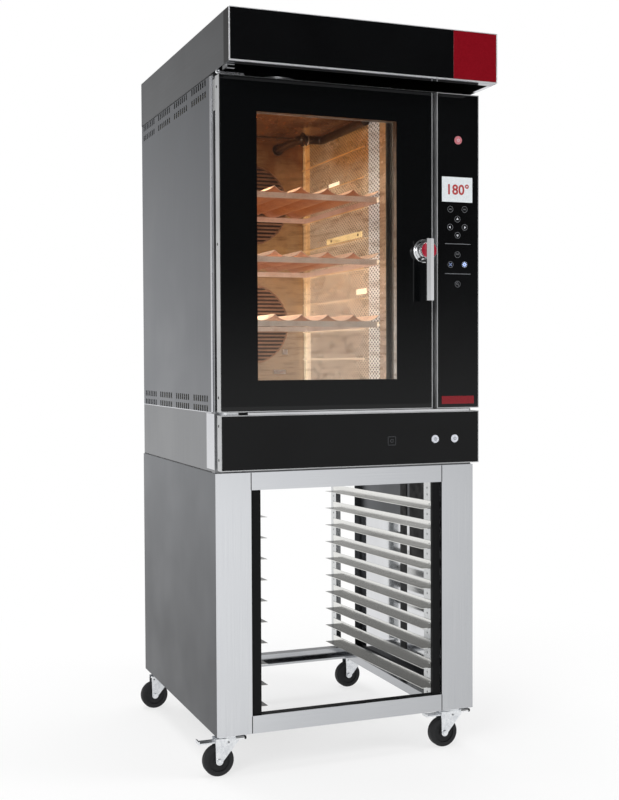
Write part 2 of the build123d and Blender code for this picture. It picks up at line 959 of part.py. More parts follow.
# Steam pipe: from a collar on the back wall, forward under the ceiling
pipe_z = cavity_z1 - pipe_drop
pipe_x = cavity_x1 - pipe_wall_gap - pipe_r
pipe_start_x = pipe_x - pipe_offset
pipe_back = baffle_y - seat_gap
turn_y = pipe_back - pipe_back_run
path = FilletPolyline(
    (pipe_start_x, pipe_back, pipe_z),
    (pipe_start_x, turn_y, pipe_z),
    (pipe_x, turn_y, pipe_z),
    (pipe_x, casing_y + pipe_front_gap, pipe_z),
    radius=pipe_bend,
)
pipe = sweep(Plane(origin=path @ 0, z_dir=path % 0) * Circle(pipe_r), path=path)
pipe += rod_y(pipe_start_x, pipe_back - pipe_collar_t, pipe_back, pipe_z, pipe_collar_r)
pipe += rod_x(cavity_x0 + feed_inset, pipe_start_x, turn_y, pipe_z, feed_r)
add_part("steam_pipe", pipe)

# Door gasket: a frame of soft section on the front frame's face
gasket_out = gasket_inset + gasket_w
gasket = box(
    cavity_x0 - gasket_out,
    cavity_x1 + gasket_out,
    panel_back + seat_gap,
    face_y - seat_gap,
    cavity_z0 - gasket_out,
    cavity_z1 + gasket_out,
)
gasket -= box(
    cavity_x0 - gasket_inset,
    cavity_x1 + gasket_inset,
    panel_back,
    face_y,
    cavity_z0 - gasket_inset,
    cavity_z1 + gasket_inset,
)
gasket = fillet(gasket.edges().filter_by(Axis.Y), gasket_corner)
add_part("door_gasket", gasket)

# Door: a sheet tray with a window, an outer pane in its rim and an inner pane
half_window = (cavity_x1 - cavity_x0 + window_more_w) / 2
window_x0 = cavity_mid + window_shift - half_window
window_x1 = cavity_mid + window_shift + half_window
window_z0 = cavity_z0 + window_rise
window_z1 = cavity_z1 - window_drop
handle_x = door_x1 - handle_from_right
handle_level = door_z0 + handle_z
pin_x = door_x0 + hinge_x
pin_y = (panel_front + panel_back) / 2
back_y = panel_back - sheet
door = box(door_x0, door_x1, panel_front, panel_back, door_z0, door_z1)
door -= box(
    door_x0 + rim_t,
    door_x1 - rim_t,
    panel_front - cut_over,
    back_y,
    door_z0 + rim_t,
    door_z1 - rim_t,
)
door -= box(window_x0, window_x1, back_y - cut_over, panel_back + cut_over, window_z0, window_z1)
door -= hole_y(handle_x, back_y, panel_back, handle_level, handle_shaft_r + run_gap)
door -= hole_z(pin_x, pin_y, door_z0, door_z0 + rim_t, hinge_pin_r + run_gap)
door -= hole_z(pin_x, pin_y, door_z1 - rim_t, door_z1, hinge_pin_r + run_gap)
add_part("door_frame", door)

outer_pane = pane(door_x0, door_x1, door_z0, door_z1)
outer_pane -= hole_y(handle_x, panel_front, panel_front + glass_t, handle_level, handle_shaft_r + run_gap)
add_part("door_outer_glass", outer_pane)

lap = inner_glass_lap
inner_y1 = back_y - inner_glass_gap
inner_pane = box(
    window_x0 - lap,
    window_x1 + lap,
    inner_y1 - inner_glass_t,
    inner_y1,
    window_z0 - lap,
    window_z1 + lap,
)
add_part("door_inner_glass", inner_pane)

# Hinges: a pin with a flange inside the door, turning in a bracket on the oven
bracket_low = door_z0 - hinge_gap - bracket_t
bracket_high = door_z1 + hinge_gap
bracket_x0 = door_x0 + bracket_left


def hinge_bracket(z0):
    z1 = z0 + bracket_t
    bracket = box(bracket_x0, bracket_x0 + bracket_w, panel_front + bracket_front, face_y, z0, z1)
    bracket = fillet(bracket.edges().filter_by(Axis.Z).sort_by(Axis.Y)[0:2], bracket_corner)
    return bracket - hole_z(pin_x, pin_y, z0, z1, hinge_pin_r + run_gap)


def hinge_pin(tip, seat, flange_end):
    pin = rod_z(pin_x, pin_y, min(tip, flange_end), max(tip, flange_end), hinge_pin_r)
    return pin + rod_z(pin_x, pin_y, min(seat, flange_end), max(seat, flange_end), hinge_flange_r)


low_seat = door_z0 + rim_t
high_seat = door_z1 - rim_t
add_part("hinge_brackets", hinge_bracket(bracket_low), hinge_bracket(bracket_high))
add_part(
    "door_hinge_pins",
    hinge_pin(bracket_low + hinge_pin_short, low_seat, low_seat + hinge_flange_t),
    hinge_pin(bracket_high + bracket_t - hinge_pin_short, high_seat, high_seat - hinge_flange_t),
)

# Handle: a rose on the glass, a tapered hub, a disc in its face and a flat bar
rose_front = panel_front - rose_h
rose_floor = panel_front - rose_plate
rose = rod_y(handle_x, rose_front, panel_front, handle_level, rose_r)
rose = fillet(rose.edges().sort_by(Axis.Y)[0], rose_round)
rose -= rod_y(handle_x, rose_front - cut_over, rose_floor, handle_level, rose_r - rose_ring)
rose -= hole_y(handle_x, rose_front, panel_front, handle_level, handle_shaft_r + run_gap)
add_part("handle_rose", rose)

hub_back = rose_floor - seat_gap
hub_front = hub_back - hub_len
cap_seat = hub_front + cap_t
tongue_y0 = panel_back + tongue_gap
tongue_y1 = tongue_y0 + tongue_t
hub = cone_y(handle_x, hub_front, hub_back, handle_level, hub_r_front, hub_r_back)
hub -= rod_y(handle_x, hub_front - cut_over, cap_seat, handle_level, cap_r + seat_gap)
hub += rod_y(handle_x, hub_back, tongue_y1 + handle_shaft_out, handle_level, handle_shaft_r)
add_part("handle_hub", hub)

bar_back = hub_front - cap_proud
add_part("handle_disc", rod_y(handle_x, bar_back, cap_seat, handle_level, cap_r))

half_bar = bar_w / 2
bar_edge = bar_back - bar_t + bar_ridge
bar_section = Plane.XY * Polygon(
    (handle_x - half_bar, bar_back),
    (handle_x + half_bar, bar_back),
    (handle_x + half_bar, bar_edge),
    (handle_x, bar_back - bar_t),
    (handle_x - half_bar, bar_edge),
    align=None,
)
bar_z0 = handle_level + bar_up - bar_len
add_part("handle_bar", Pos(0, 0, bar_z0) * extrude(bar_section, amount=bar_len, dir=(0, 0, 1)))

# Latch: a tongue on the handle's shaft beside a keeper on the front frame
half_tongue = tongue_w / 2
tongue = box(
    handle_x - half_tongue,
    handle_x + half_tongue,
    tongue_y0,
    tongue_y1,
    handle_level - tongue_len,
    handle_level,
)
tongue += rod_y(handle_x, tongue_y0, tongue_y1, handle_level, tongue_boss_r)
tongue -= hole_y(handle_x, tongue_y0, tongue_y1, handle_level, handle_shaft_r + run_gap)
add_part("latch_tongue", tongue)

keeper_x0 = handle_x + half_tongue + keeper_gap
keeper_z1 = handle_level - keeper_drop
keeper_z0 = keeper_z1 - keeper_h
keeper = box(keeper_x0, keeper_x0 + keeper_t, tongue_y0 + keeper_front, face_y, keeper_z0, keeper_z1)
keeper += box(keeper_x0, keeper_x0 + keeper_w, face_y - keeper_foot, face_y, keeper_z0, keeper_z1)
add_part("latch_keeper", keeper)

# Hood: a shell with an open front part, and a duct collar on its top
hood_front = panel_front - hood_reach
hood_y0 = hood_front + fascia_t
hood_in = half_hood - sheet
hood = box(-half_hood, half_hood, hood_y0, body_back, oven_top_z, hood_top)
hood -= box(-hood_in, hood_in, hood_y0 - cut_over, back_y0, oven_top_z + sheet, hood_top - sheet)
hood -= box(
    -hood_in,
    hood_in,
    hood_y0 + hood_return,
    casing_y,
    oven_top_z - cut_over,
    oven_top_z + sheet + cut_over,
)
hood += rod_z(0, duct_y, hood_top, hood_top + duct_h, duct_r)
hood -= hole_z(0, duct_y, hood_top - sheet, hood_top + duct_h, duct_r - sheet)
add_part("hood_shell", hood)

add_part("hood_fascia", box(-half_hood, control_x0, hood_front, hood_y0, oven_top_z, hood_top))
add_part("hood_red_panel", box(control_x0, half_hood, hood_front, hood_y0, oven_top_z, hood_top))

filter_x = hood_in - seat_gap
filter_y0 = hood_y0 + hood_return
filter_z0 = oven_top_z + filter_z
hood_filter = box(-filter_x, filter_x, filter_y0, filter_y0 + filter_d, filter_z0, filter_z0 + filter_t)
add_part("hood_filter", hood_filter)


# Connections on the back panel
def fitting(x, bore_r, out_r, length):
    y1 = body_back + length
    piece = rod_y(x, body_back, y1, fitting_level, out_r)
    flange_r = out_r + fitting_flange_w
    piece += rod_y(x, body_back, body_back + fitting_flange_t, fitting_level, flange_r)
    return piece - hole_y(x, body_back, y1, fitting_level, bore_r)


add_part("cable_gland", fitting(gland_x, gland_bore_r, gland_r, gland_len))
add_part(
    "water_fittings",
    fitting(inlet_x, inlet_bore_r, inlet_r, inlet_len),
    fitting(drain_x, drain_r - drain_t, drain_r, drain_len),
)

# Writing each piece out, moved to the centre of the footprint
for name, found in parts.items():
    placed = [Pos(origin_x, origin_y, 0) * item for item in found]
    shape = placed[0] if len(placed) == 1 else Compound(children=placed)
    export_step(shape, "parts/" + name + ".step")
print(len(parts), "nodes")
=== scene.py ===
import math

import bmesh
import bpy
from mathutils import Matrix, Vector


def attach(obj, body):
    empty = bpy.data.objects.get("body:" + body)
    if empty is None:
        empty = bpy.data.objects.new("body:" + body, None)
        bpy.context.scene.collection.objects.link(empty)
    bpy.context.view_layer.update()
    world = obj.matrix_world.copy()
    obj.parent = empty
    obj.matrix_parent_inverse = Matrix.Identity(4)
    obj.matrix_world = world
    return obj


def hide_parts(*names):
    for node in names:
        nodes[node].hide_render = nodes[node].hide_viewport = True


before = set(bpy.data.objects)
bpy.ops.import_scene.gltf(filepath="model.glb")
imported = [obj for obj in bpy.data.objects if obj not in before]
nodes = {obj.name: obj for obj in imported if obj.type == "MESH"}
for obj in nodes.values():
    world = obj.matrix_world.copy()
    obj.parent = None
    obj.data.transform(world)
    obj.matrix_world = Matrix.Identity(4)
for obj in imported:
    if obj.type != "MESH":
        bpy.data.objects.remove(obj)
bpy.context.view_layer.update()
print("frame loaded:", len(nodes), "nodes")

# Pieces are placed in the oven's own measures: millimetres, x to the right from
# the middle of the stand, y to the back from its front face, z up from the floor.
footprint = {"x": 20, "y": -400}


def place(x, y, z):
    return Vector(((x + footprint["x"]) / 1000, (y + footprint["y"]) / 1000, z / 1000))


def linear(hexColour):
    # sRGB hex to the linear values that shaders work in
    values = [int(hexColour[i:i + 2], 16) / 255 for i in (1, 3, 5)]
    return [v / 12.92 if v <= 0.04045 else ((v + 0.055) / 1.055) ** 2.4 for v in values] + [1.0]


def addNode(tree, kind, settings=None, links=None, out=0):
    # One node with its values and links. A key that isn't a socket is an option of the
    # node. It gives the socket that comes out, or the node itself where nothing does.
    # Map Range takes 1 and 2 as its range in, 3 and 4 as its range out.
    node = tree.nodes.new("ShaderNode" + kind)
    for key, value in (settings or {}).items():
        if isinstance(key, int) or key in node.inputs:
            node.inputs[key].default_value = value
        else:
            setattr(node, key, value)
    for key, source in (links or {}).items():
        tree.links.new(source, node.inputs[key])
    return node.outputs[out] if node.outputs else node


mixing = {"data_type": "RGBA"}  # colour 6 to colour 7 by share 0, out of socket 2
shading = {"data_type": "RGBA", "blend_type": "MULTIPLY"}
smoothly = {"interpolation_type": "SMOOTHSTEP"}


def startMaterial(name):
    material = bpy.data.materials.new(name)
    material.use_nodes = True
    material.node_tree.nodes.clear()
    return material, material.node_tree


def closeMaterial(tree, values, links=None):
    addNode(tree, "OutputMaterial", links={"Surface": addNode(tree, "BsdfPrincipled", values, links)})


def grainNoise(tree, spacing, detail=3.0):
    # A pattern with its own spacing in millimetres along x, y and z, fixed to the piece
    scaled = addNode(tree, "VectorMath", {"operation": "MULTIPLY", 1: [1000 / s for s in spacing]},
                     {0: addNode(tree, "TexCoord", out="Object")})
    return addNode(tree, "TexNoise", {"Scale": 1.0, "Detail": detail, "Roughness": 0.6}, {"Vector": scaled})


# Sheet metal, bare and plated

def rolledMetal(name, dark, light, rough, grain, cloud=(260, 260, 260), bump=0.15, paintedShade=(),
                metal=1.0, flatShade=None):
    # A ground or brushed sheet: fine lines along the grain, and slow clouds in its gloss.
    # paintedShade darkens it along an axis, from one place to another in metres, down to a share: painted shade
    # where the sheet gets less light.
    material, tree = startMaterial(name)
    lines = grainNoise(tree, grain)
    clouds = grainNoise(tree, cloud, 2.0)
    both = addNode(tree, "Math", {"operation": "MULTIPLY"}, {0: lines, 1: clouds})
    colour = addNode(tree, "Mix", {**mixing, 6: linear(dark), 7: linear(light)},
                     {0: addNode(tree, "MapRange", {1: 0.12, 2: 0.4}, {0: both})}, 2)
    for axis, start, end, share in paintedShade:
        point = addNode(tree, "TexCoord", out="Object")
        along = addNode(tree, "SeparateXYZ", links={0: point}, out=axis)
        colour = addNode(tree, "Mix", {**shading, 7: (share, share, share, 1)},
                         {0: addNode(tree, "MapRange", {1: start, 2: end}, {0: along}), 6: colour}, 2)
    if flatShade:
        # Painted shade: faces that lie flat are made darker
        facing = addNode(tree, "SeparateXYZ", links={0: addNode(tree, "TexCoord", out="Normal")}, out="Z")
        flat = addNode(tree, "Math", {"operation": "ABSOLUTE"}, {0: facing})
        colour = addNode(tree, "Mix", {**shading, 7: (flatShade, flatShade, flatShade, 1)},
                         {0: addNode(tree, "MapRange", {1: 0.4, 2: 0.8}, {0: flat}), 6: colour}, 2)
    closeMaterial(tree, {"Metallic": metal}, {
        "Base Color": colour,
        "Roughness": addNode(tree, "MapRange", {1: 0.3, 2: 0.7, 3: rough[0], 4: rough[1]}, {0: clouds}),
        "Normal": addNode(tree, "Bump", {"Strength": bump, "Distance": 0.00005}, {"Height": lines})})
    return material


upright = (2, 2, 300)  # the real lines are 0.2 mm apart and are drawn 2 mm apart, so that they show
lying = (300, 2, 2)
smooth = (200, 200, 200)
shadeToRight = [("X", -0.43, 0.47, 0.74)]  # painted shade: the sheets darken towards the right, where they get less light
# Stainless sheet 304, brushed upright: pale, with soft upright streaks, and painted shade that darkens it
# towards the right and towards the floor
brushedStainless = rolledMetal("brushedStainlessSheet", "#d6d8dc", "#dfe1e4", (0.14, 0.20), upright,
                               paintedShade=shadeToRight + [("Z", 0.85, 0.3, 0.90)])
# The same sheet with its grain lying across, as on rails: streaks from side to side, with the same painted
# shade towards the right and the floor
brushedAcross = rolledMetal("brushedStainlessRail", "#d2d4d8", "#dcdee1", (0.12, 0.18), lying,
                            paintedShade=shadeToRight + [("Z", 0.8, 0.3, 0.89)])
# Drawn runners: warmer and brighter than the rest from the trays that slide on them, with painted shade on
# their flat faces
drawnRunner = rolledMetal("brushedStainlessRunner", "#dededb", "#efeeea", (0.14, 0.24), (2, 300, 2), bump=0.05,
                          flatShade=0.16)
# Plain rolled uprights: greyer, with a blurred shine
plainStainless = rolledMetal("rolledStainlessUpright", "#c3c5c6", "#dcdddd", (0.18, 0.32), (2, 2, 200),
                             bump=0.08)
# Scotch-ground stainless of the oven's sides: mid grey and satin, so that light spreads wide, with painted
# shade darkening it towards the front
satinSide = rolledMetal("satinGroundStainless", "#838589", "#8c8e92", (0.40, 0.50), (2, 2, 400),
                        paintedShade=[("Y", 0.4, -0.38, 0.84)])
# The same on the stand's skins, with painted shade that darkens it strongly near the floor and a little towards
# the front
satinSkin = rolledMetal("satinGroundStandSkin", "#7b7d81", "#848689", (0.42, 0.52), (2, 2, 400),
                        paintedShade=[("Z", 0.95, 0.35, 0.52), ("Y", 0.5, -0.4, 0.87)])
# The inner face of a skin keeps its mill finish, which mirrors the pale floor
innerSkin = rolledMetal("millFinishInnerFace", "#cfd0d2", "#e0e1e3", (0.05, 0.11), upright, bump=0.05)
# The hood's sheet, ground from front to back: a flat mid grey, with painted shade darkening it towards the
# front
satinHood = rolledMetal("satinGroundHoodSheet", "#7d7e80", "#868789", (0.38, 0.48), (2, 400, 2),
                        paintedShade=[("Y", 0.4, -0.5, 0.86)])
# Heat-darkened strip and screws: nearly black, with a dull shine
hoodStrip = rolledMetal("darkenedHoodStrip", "#3f3f40", "#4a4a4a", (0.35, 0.45), (2, 2, 200))
# The service unit's sheet: satin, and paler than the sides over it as painted light, for the brighter light low
# on the sides
serviceSheet = rolledMetal("satinServiceSheet", "#8f9092", "#9a9b9d", (0.42, 0.52), (2, 2, 400))
# Folded edges, where the sheet is stretched bright: thin pale lines
paleFold = rolledMetal("foldedStainlessEdge", "#c8c9ce", "#d8d9dc", (0.22, 0.3), (2, 2, 200))
# Bright rolled stainless of the trims: a clean mirror with a little draw
brightTrim = rolledMetal("brightDrawnStainless", "#d4d5d8", "#eeeff1", (0.12, 0.22), smooth, bump=0.05)
# Polished, then dulled by hands and cloths: an even pale grey on the door's frame and the
# trays of the panels
doorTrim = rolledMetal("polishedDoorFrame", "#c8c9ca", "#dcddde", (0.5, 0.62), smooth, bump=0.05)
# The front frame behind the door: mid grey satin
frameSteel = rolledMetal("satinFrontFrame", "#848587", "#929395", (0.25, 0.35), (2, 2, 200))
# Satin trim round the hood's glass: a bright silver line from any side
hoodTrimSteel = rolledMetal("satinHoodTrim", "#dcdde0", "#f0f1f3", (0.25, 0.35), smooth, bump=0.05, metal=0.6)
# Bright-annealed lip under the hood: it mirrors the glass below
lipSteel = rolledMetal("brightAnnealedLip", "#8d8e94", "#9a9ba1", (0.05, 0.10), (90, 90, 90), bump=0.02)
# Zinc-plated pressed steel of the castors: pale, with a faint crystal in the zinc
zincSteel = rolledMetal("zincPlatedPressing", "#d3d6da", "#f4f6f8", (0.22, 0.36), (9, 9, 9), (30, 30, 30), 0.08)
# Hot-dip galvanised sheet of the back: spangles a few centimetres across
galvanised = rolledMetal("galvanisedSheet", "#8e9194", "#b4b7ba", (0.36, 0.55), (26, 26, 26), (60, 60, 60))
# Satin-polished aluminium of the handle: white, with a soft shine
satinAluminium = rolledMetal("satinPolishedAluminium", "#d6d7d9", "#f2f3f4", (0.16, 0.26), (2, 2, 120),
                             bump=0.08)
# Chrome plate of the rose: a clear mirror
chromePlate = rolledMetal("chromePlatedBrass", "#d9dadc", "#f4f5f6", (0.05, 0.10), (90, 90, 90), bump=0.02)
# Turned brass fittings: yellow, with fine rings from the tool
brassFitting = rolledMetal("turnedBrass", "#a5803d", "#cdaa62", (0.24, 0.38), (4, 60, 4))
# Painted castings of the motors: dark, with the grain of the sand mould
motorCasting = rolledMetal("paintedMotorCasting", "#26272b", "#3d3f45", (0.45, 0.65), (4, 4, 4))
# Oxidised heater tube: brown-black and dull
heaterTube = rolledMetal("oxidisedHeaterTube", "#2c2622", "#4a403a", (0.5, 0.7), (6, 6, 6))


def heightTint(tree, low, middle, high):
    # The oven's heat stain makes it browner towards the hot ceiling; the paleness low down is painted
    # reflection of the pale floor
    stainAndReflection = {"low": 1.36, "middle": 1.74, "high": 2.10, "waver": 0.09}  # heights in metres
    height = addNode(tree, "SeparateXYZ", links={0: addNode(tree, "TexCoord", out="Object")}, out="Z")
    waver = addNode(tree, "MapRange", {1: 0.3, 2: 0.7, 3: -stainAndReflection["waver"], 4: stainAndReflection["waver"]},
                    {0: grainNoise(tree, (70, 260, 110), 4.0)})
    height = addNode(tree, "Math", {"operation": "ADD"}, {0: height, 1: waver})
    lower = addNode(tree, "Mix", {**mixing, 6: linear(low), 7: linear(middle)},
                    {0: addNode(tree, "MapRange", {1: stainAndReflection["low"], 2: stainAndReflection["middle"]}, {0: height})}, 2)
    share = addNode(tree, "MapRange", {1: stainAndReflection["middle"], 2: stainAndReflection["high"]}, {0: height})
    return addNode(tree, "Mix", {**mixing, 7: linear(high)}, {0: share, 6: lower}, 2)


def ovenSteel(name, low, middle, high, rough, glow, dots=None, metal=0.35):
    # Annealed stainless, bronzed by heat. glow stands for the light that the lamps
    # spread between the walls.
    material, tree = startMaterial(name)
    streaks = addNode(tree, "MapRange", {1: 0.48, 2: 0.72, 4: 0.9}, {0: grainNoise(tree, (90, 120, 14))})
    colour = addNode(tree, "Mix", {**shading, 7: (0.55, 0.48, 0.42, 1)},
                     {0: streaks, 6: heightTint(tree, low, middle, high)}, 2)
    if dots:
        # Punched holes in staggered rows, as dark discs. Real holes are 3 mm apart;
        # these are drawn wider, so that they show. dots: two spacings, and how dark.
        point = addNode(tree, "VectorMath", {"operation": "MULTIPLY", 1: (0, 1000 / dots[0], 1000 / dots[1])},
                        {0: addNode(tree, "TexCoord", out="Object")})
        angled = addNode(tree, "VectorRotate", {"rotation_type": "X_AXIS", "Angle": math.radians(45)},
                         {"Vector": point})
        cells = addNode(tree, "TexVoronoi", {"Scale": 1.0, "Randomness": 0.0}, {"Vector": angled})
        hole = addNode(tree, "MapRange", {1: 0.24, 2: 0.36, 3: 1.0, 4: 0.0}, {0: cells})
        colour = addNode(tree, "Mix", {**shading, 7: (dots[2], dots[2] * 0.9, dots[2] * 0.85, 1)},
                         {0: hole, 6: colour}, 2)
    gloss = grainNoise(tree, (40, 120, 60), 4.0)
    closeMaterial(tree, {"Metallic": metal, "Emission Strength": glow}, {
        "Base Color": colour, "Emission Color": colour,
        "Roughness": addNode(tree, "MapRange", {1: 0.3, 2: 0.7, 3: rough[0], 4: rough[1]}, {0: gloss}),
        "Normal": addNode(tree, "Bump", {"Strength": 0.2, "Distance": 0.0004}, {"Height": gloss})})
    return material


# Walls: grey-brown low down, dark brown at the top, with a satin shine
bronzedLiner = ovenSteel("bronzedAnnealedStainless", "#a48e7c", "#8a6644", "#54311b", (0.16, 0.32), 0.5)
# Pressed wall in front of the fans: glossier and more golden
bronzedBaffle = ovenSteel("bronzedPressedBaffle", "#af9c88", "#a5845c", "#6a3f21", (0.12, 0.22), 0.42,
                          metal=0.6)
# Punched rack sheets: pale gold behind rows of dark dots
punchedRack = ovenSteel("punchedRackSheet", "#d9cdc0", "#d9c8b0", "#966c41", (0.22, 0.36), 0.6, (15, 9.5, 0.28))
# Punched strips by the mouth, out of the heat: silver behind black dots
palePunched = ovenSteel("palePunchedStrip", "#eceef0", "#e2e4e6", "#a09d9e", (0.3, 0.45), 0.75, (17, 10, 0.08))
# Folded edges of ledges and racks, which catch the lamps: bright gold lines
goldEdge = ovenSteel("bronzedFoldedEdge", "#fff0dc", "#dcb888", "#c98f50", (0.14, 0.26), 0.7, metal=0.6)
# Polished bracket: the brightest gold
bracketSteel = ovenSteel("brightRackBracket", "#ffebc0", "#ffe6ac", "#ffe0a0", (0.14, 0.26), 0.85, metal=0.5)
# Polished posts in the rear corners: pale, with only a faint height tint
brightCorner = ovenSteel("polishedCornerPost", "#cbc5b2", "#bfa27c", "#9d7c54", (0.2, 0.35), 0.8)
# Pipe scorched by steam and heat: brown-black
darkPipe = ovenSteel("scorchedSteamPipe", "#2c1806", "#2c1806", "#2a1605", (0.25, 0.4), 0.25)
# Bars of the fan guards: brown, a shade darker than the wall
fanBar = ovenSteel("scorchedFanGuardBar", "#9a7860", "#84604a", "#5a3721", (0.3, 0.5), 0.5)
# Painted shade: the darkest brown, for discs behind the fan guards where the housings lie in the guards' shade
fanDark = ovenSteel("fanHousingInPaintedShade", "#4a3529", "#3c281d", "#20130b", (0.4, 0.6), 0.3)
# Rim of the mouth, in the light from the door: soft pinkish grey
mouthRim = ovenSteel("cavityMouthRim", "#c3b4a9", "#b39a82", "#8f6a48", (0.2, 0.35), 0.6)
# Spacer between the panes: grey below, browned above
spacerSteel = ovenSteel("doorPaneSpacer", "#c4c1be", "#8a7c70", "#4a3424", (0.3, 0.45), 0.55)
# Corners of the trays, made nearly white as painted highlights
trayCornerSteel = ovenSteel("trayCornerPaintedHighlight", "#fff6e6", "#ffeed8", "#f8dcc0", (0.2, 0.3), 0.95)

# Baked aluminium baguette trays: a pinkish sheen above, greyer on the bars in front
# and orange beneath, where they throw back the glow of the walls
trayAluminium, tree = startMaterial("bakedAluminiumTray")
facing = addNode(tree, "SeparateXYZ", links={0: addNode(tree, "TexCoord", out="Normal")}, out="Z")
tint = heightTint(tree, "#b8b1ac", "#c8ad9e", "#a16e51")
for tones, start, end in ((("#f0d9c6", "#ecceb4", "#d59c76"), 0.08, 0.2),
                          (("#a98672", "#834c31", "#9f5a21"), -0.08, -0.3)):
    tint = addNode(tree, "Mix", mixing, {0: addNode(tree, "MapRange", {1: start, 2: end}, {0: facing}),
                                         6: tint, 7: heightTint(tree, *tones)}, 2)
baked = grainNoise(tree, (60, 60, 60), 4.0)
tint = addNode(tree, "Mix", {**shading, 7: (0.7, 0.62, 0.56, 1)},
               {0: addNode(tree, "MapRange", {1: 0.45, 2: 0.75, 4: 0.7}, {0: baked}), 6: tint}, 2)
closeMaterial(tree, {"Metallic": 0.35, "Emission Strength": 0.62}, {
    "Base Color": tint, "Emission Color": tint,
    "Roughness": addNode(tree, "MapRange", {1: 0.3, 2: 0.7, 3: 0.3, 4: 0.42}, {0: baked})})


# Glass, enamel, rubber and plastics

def glossySkin(name, dark, light, rough, cell, ior=1.5, bump=0.0, depth=0.05, **values):
    # A smooth dielectric with slow, slight changes in tone and gloss. cell is their
    # spacing in millimetres, and depth that of the bump.
    material, tree = startMaterial(name)
    clouds = grainNoise(tree, (cell, cell, cell) if isinstance(cell, int) else cell)
    links = {"Base Color": addNode(tree, "Mix", {**mixing, 6: linear(dark), 7: linear(light)},
                                   {0: addNode(tree, "MapRange", {1: 0.3, 2: 0.7}, {0: clouds})}, 2),
             "Roughness": addNode(tree, "MapRange", {1: 0.3, 2: 0.7, 3: rough[0], 4: rough[1]}, {0: clouds})}
    if bump:
        links["Normal"] = addNode(tree, "Bump", {"Strength": bump, "Distance": depth / 1000},
                                  {"Height": clouds})
    closeMaterial(tree, {"IOR": ior, **values}, links)
    return material


def lit(hexColour, strength):
    return {"Emission Color": linear(hexColour), "Emission Strength": strength}


# Float glass printed black on its back: deep black, a clean and weak mirror
blackGlass = glossySkin("blackPrintedFloatGlass", "#070708", "#0c0d0e", (0.03, 0.07), 300,
                        **{"Specular IOR Level": 0.3})
# The same low down, which shows less of the room
serviceBlack = glossySkin("blackPrintedLowerGlass", "#070708", "#0c0d0e", (0.03, 0.07), 300,
                          **{"Specular IOR Level": 0.16})
# Vitreous enamel, fired red: smooth with a faint orange peel
redEnamel = glossySkin("firedRedEnamel", "#760a16", "#820e1b", (0.10, 0.18), 5, bump=0.05,
                       **{"Specular IOR Level": 0.4})
# Moulded acrylic of the handle's disc: bright red and glossy
redDisc = glossySkin("mouldedRedAcrylic", "#a01c30", "#b3263c", (0.12, 0.2), 8, 1.49)
# Solid rubber tyre: matt black with fine grain from the mould
tyreRubber = glossySkin("mouldedTyreRubber", "#0d0e10", "#1b1c1f", (0.62, 0.8), 2, bump=0.5, depth=0.3)
# Extruded ABS strips: dull black with faint draw lines
blackPlastic = glossySkin("extrudedBlackAbs", "#060607", "#0d0e0f", (0.4, 0.55), (3, 3, 200), bump=0.1,
                          **{"Specular IOR Level": 0.15})
# Matt paint on sheet: black without a shine
blackPaint = glossySkin("mattBlackPaintedSheet", "#060607", "#0b0c0e", (0.5, 0.7), 30)
# Extruded silicone of the gasket: soft brown-black
silicone = glossySkin("extrudedSilicone", "#1d1a18", "#26221f", (0.5, 0.7), 5, 1.41, 0.2)
# Moulded button caps: frosted white with a cool glow, and one tinted pink
palePlastic = glossySkin("frostedButtonCap", "#c6c9d0", "#dadde3", (0.25, 0.4), 3, 1.49, **lit("#dfe3ff", 0.03))
powerPlastic = glossySkin("tintedButtonCap", "#b5646c", "#cf8289", (0.25, 0.4), 4, 1.49)
# Pressed mineral wool: ochre and matt, with its fibres in layers
mineralWool = glossySkin("pressedMineralWool", "#6f6850", "#a39a78", (0.9, 1.0), (3, 9, 3), 1.45, 1.0, 3.0)
# Inks screen-printed on the glass, from pale to faint
whiteInk = glossySkin("screenPrintedInk", "#b9bcc2", "#d4d7dc", (0.5, 0.6), 2, 1.45)
dimInk = glossySkin("dimScreenPrintedInk", "#5b5d60", "#77797d", (0.5, 0.6), 2, 1.45)
faintInk = glossySkin("faintScreenPrintedInk", "#3c3d40", "#4b4d50", (0.5, 0.6), 2, 1.45)
# Key legends lit from behind: cool blue, one bright and one dim
litInk = glossySkin("litKeyLegend", "#9fb4e0", "#c6d5f5", (0.5, 0.6), 4, 1.45, **lit("#a9bff0", 0.5))
dimLitInk = glossySkin("dimKeyLegend", "#5f6d8f", "#7c8bb0", (0.5, 0.6), 4, 1.45, **lit("#8fa3d0", 0.15))
# Painted reflection of the cavity lamps: a warm white that glows, on oblong patches in the right wall
lampReflectionGlow = glossySkin("paintedLampReflection", "#fff4dd", "#fffaf0", (0.3, 0.5), 3, **lit("#fff3da", 1.1))
# Lit film of the display, greyish white, and the red ink of its digits
screenWhite = glossySkin("litDisplayFilm", "#c6cccf", "#d6dadc", (0.2, 0.3), 3, **lit("#e9eff1", 0.16))
screenRed = glossySkin("displayDigitInk", "#9d2a2c", "#b23a39", (0.4, 0.5), 3)


def paneGlass(name, window=None):
    # Tempered float glass: clear, with a weak mirror. Outside the window it has a black
    # print on it.
    material, tree = startMaterial(name)
    clear, printed, links = linear("#f4f1ec"), linear("#08090a"), {}
    if window:
        inside = []
        for axis, low, high in window:
            point = addNode(tree, "TexCoord", out="Object")
            along = addNode(tree, "SeparateXYZ", links={0: point}, out=axis)
            off = addNode(tree, "Math", {"operation": "SUBTRACT", 1: (low + high) / 2}, {0: along})
            size = addNode(tree, "Math", {"operation": "ABSOLUTE"}, {0: off})
            inside.append(addNode(tree, "Math", {"operation": "LESS_THAN", 1: (high - low) / 2}, {0: size}))
        share = addNode(tree, "Math", {"operation": "MULTIPLY"}, {0: inside[0], 1: inside[1]})
        links = {"Transmission Weight": share,
                 "Base Color": addNode(tree, "Mix", {**mixing, 6: printed, 7: clear}, {0: share}, 2)}
    closeMaterial(tree, {"IOR": 1.45, "Roughness": 0.0, "Transmission Weight": 1.0, "Specular IOR Level": 0.35,
                         "Base Color": clear}, links)
    return material


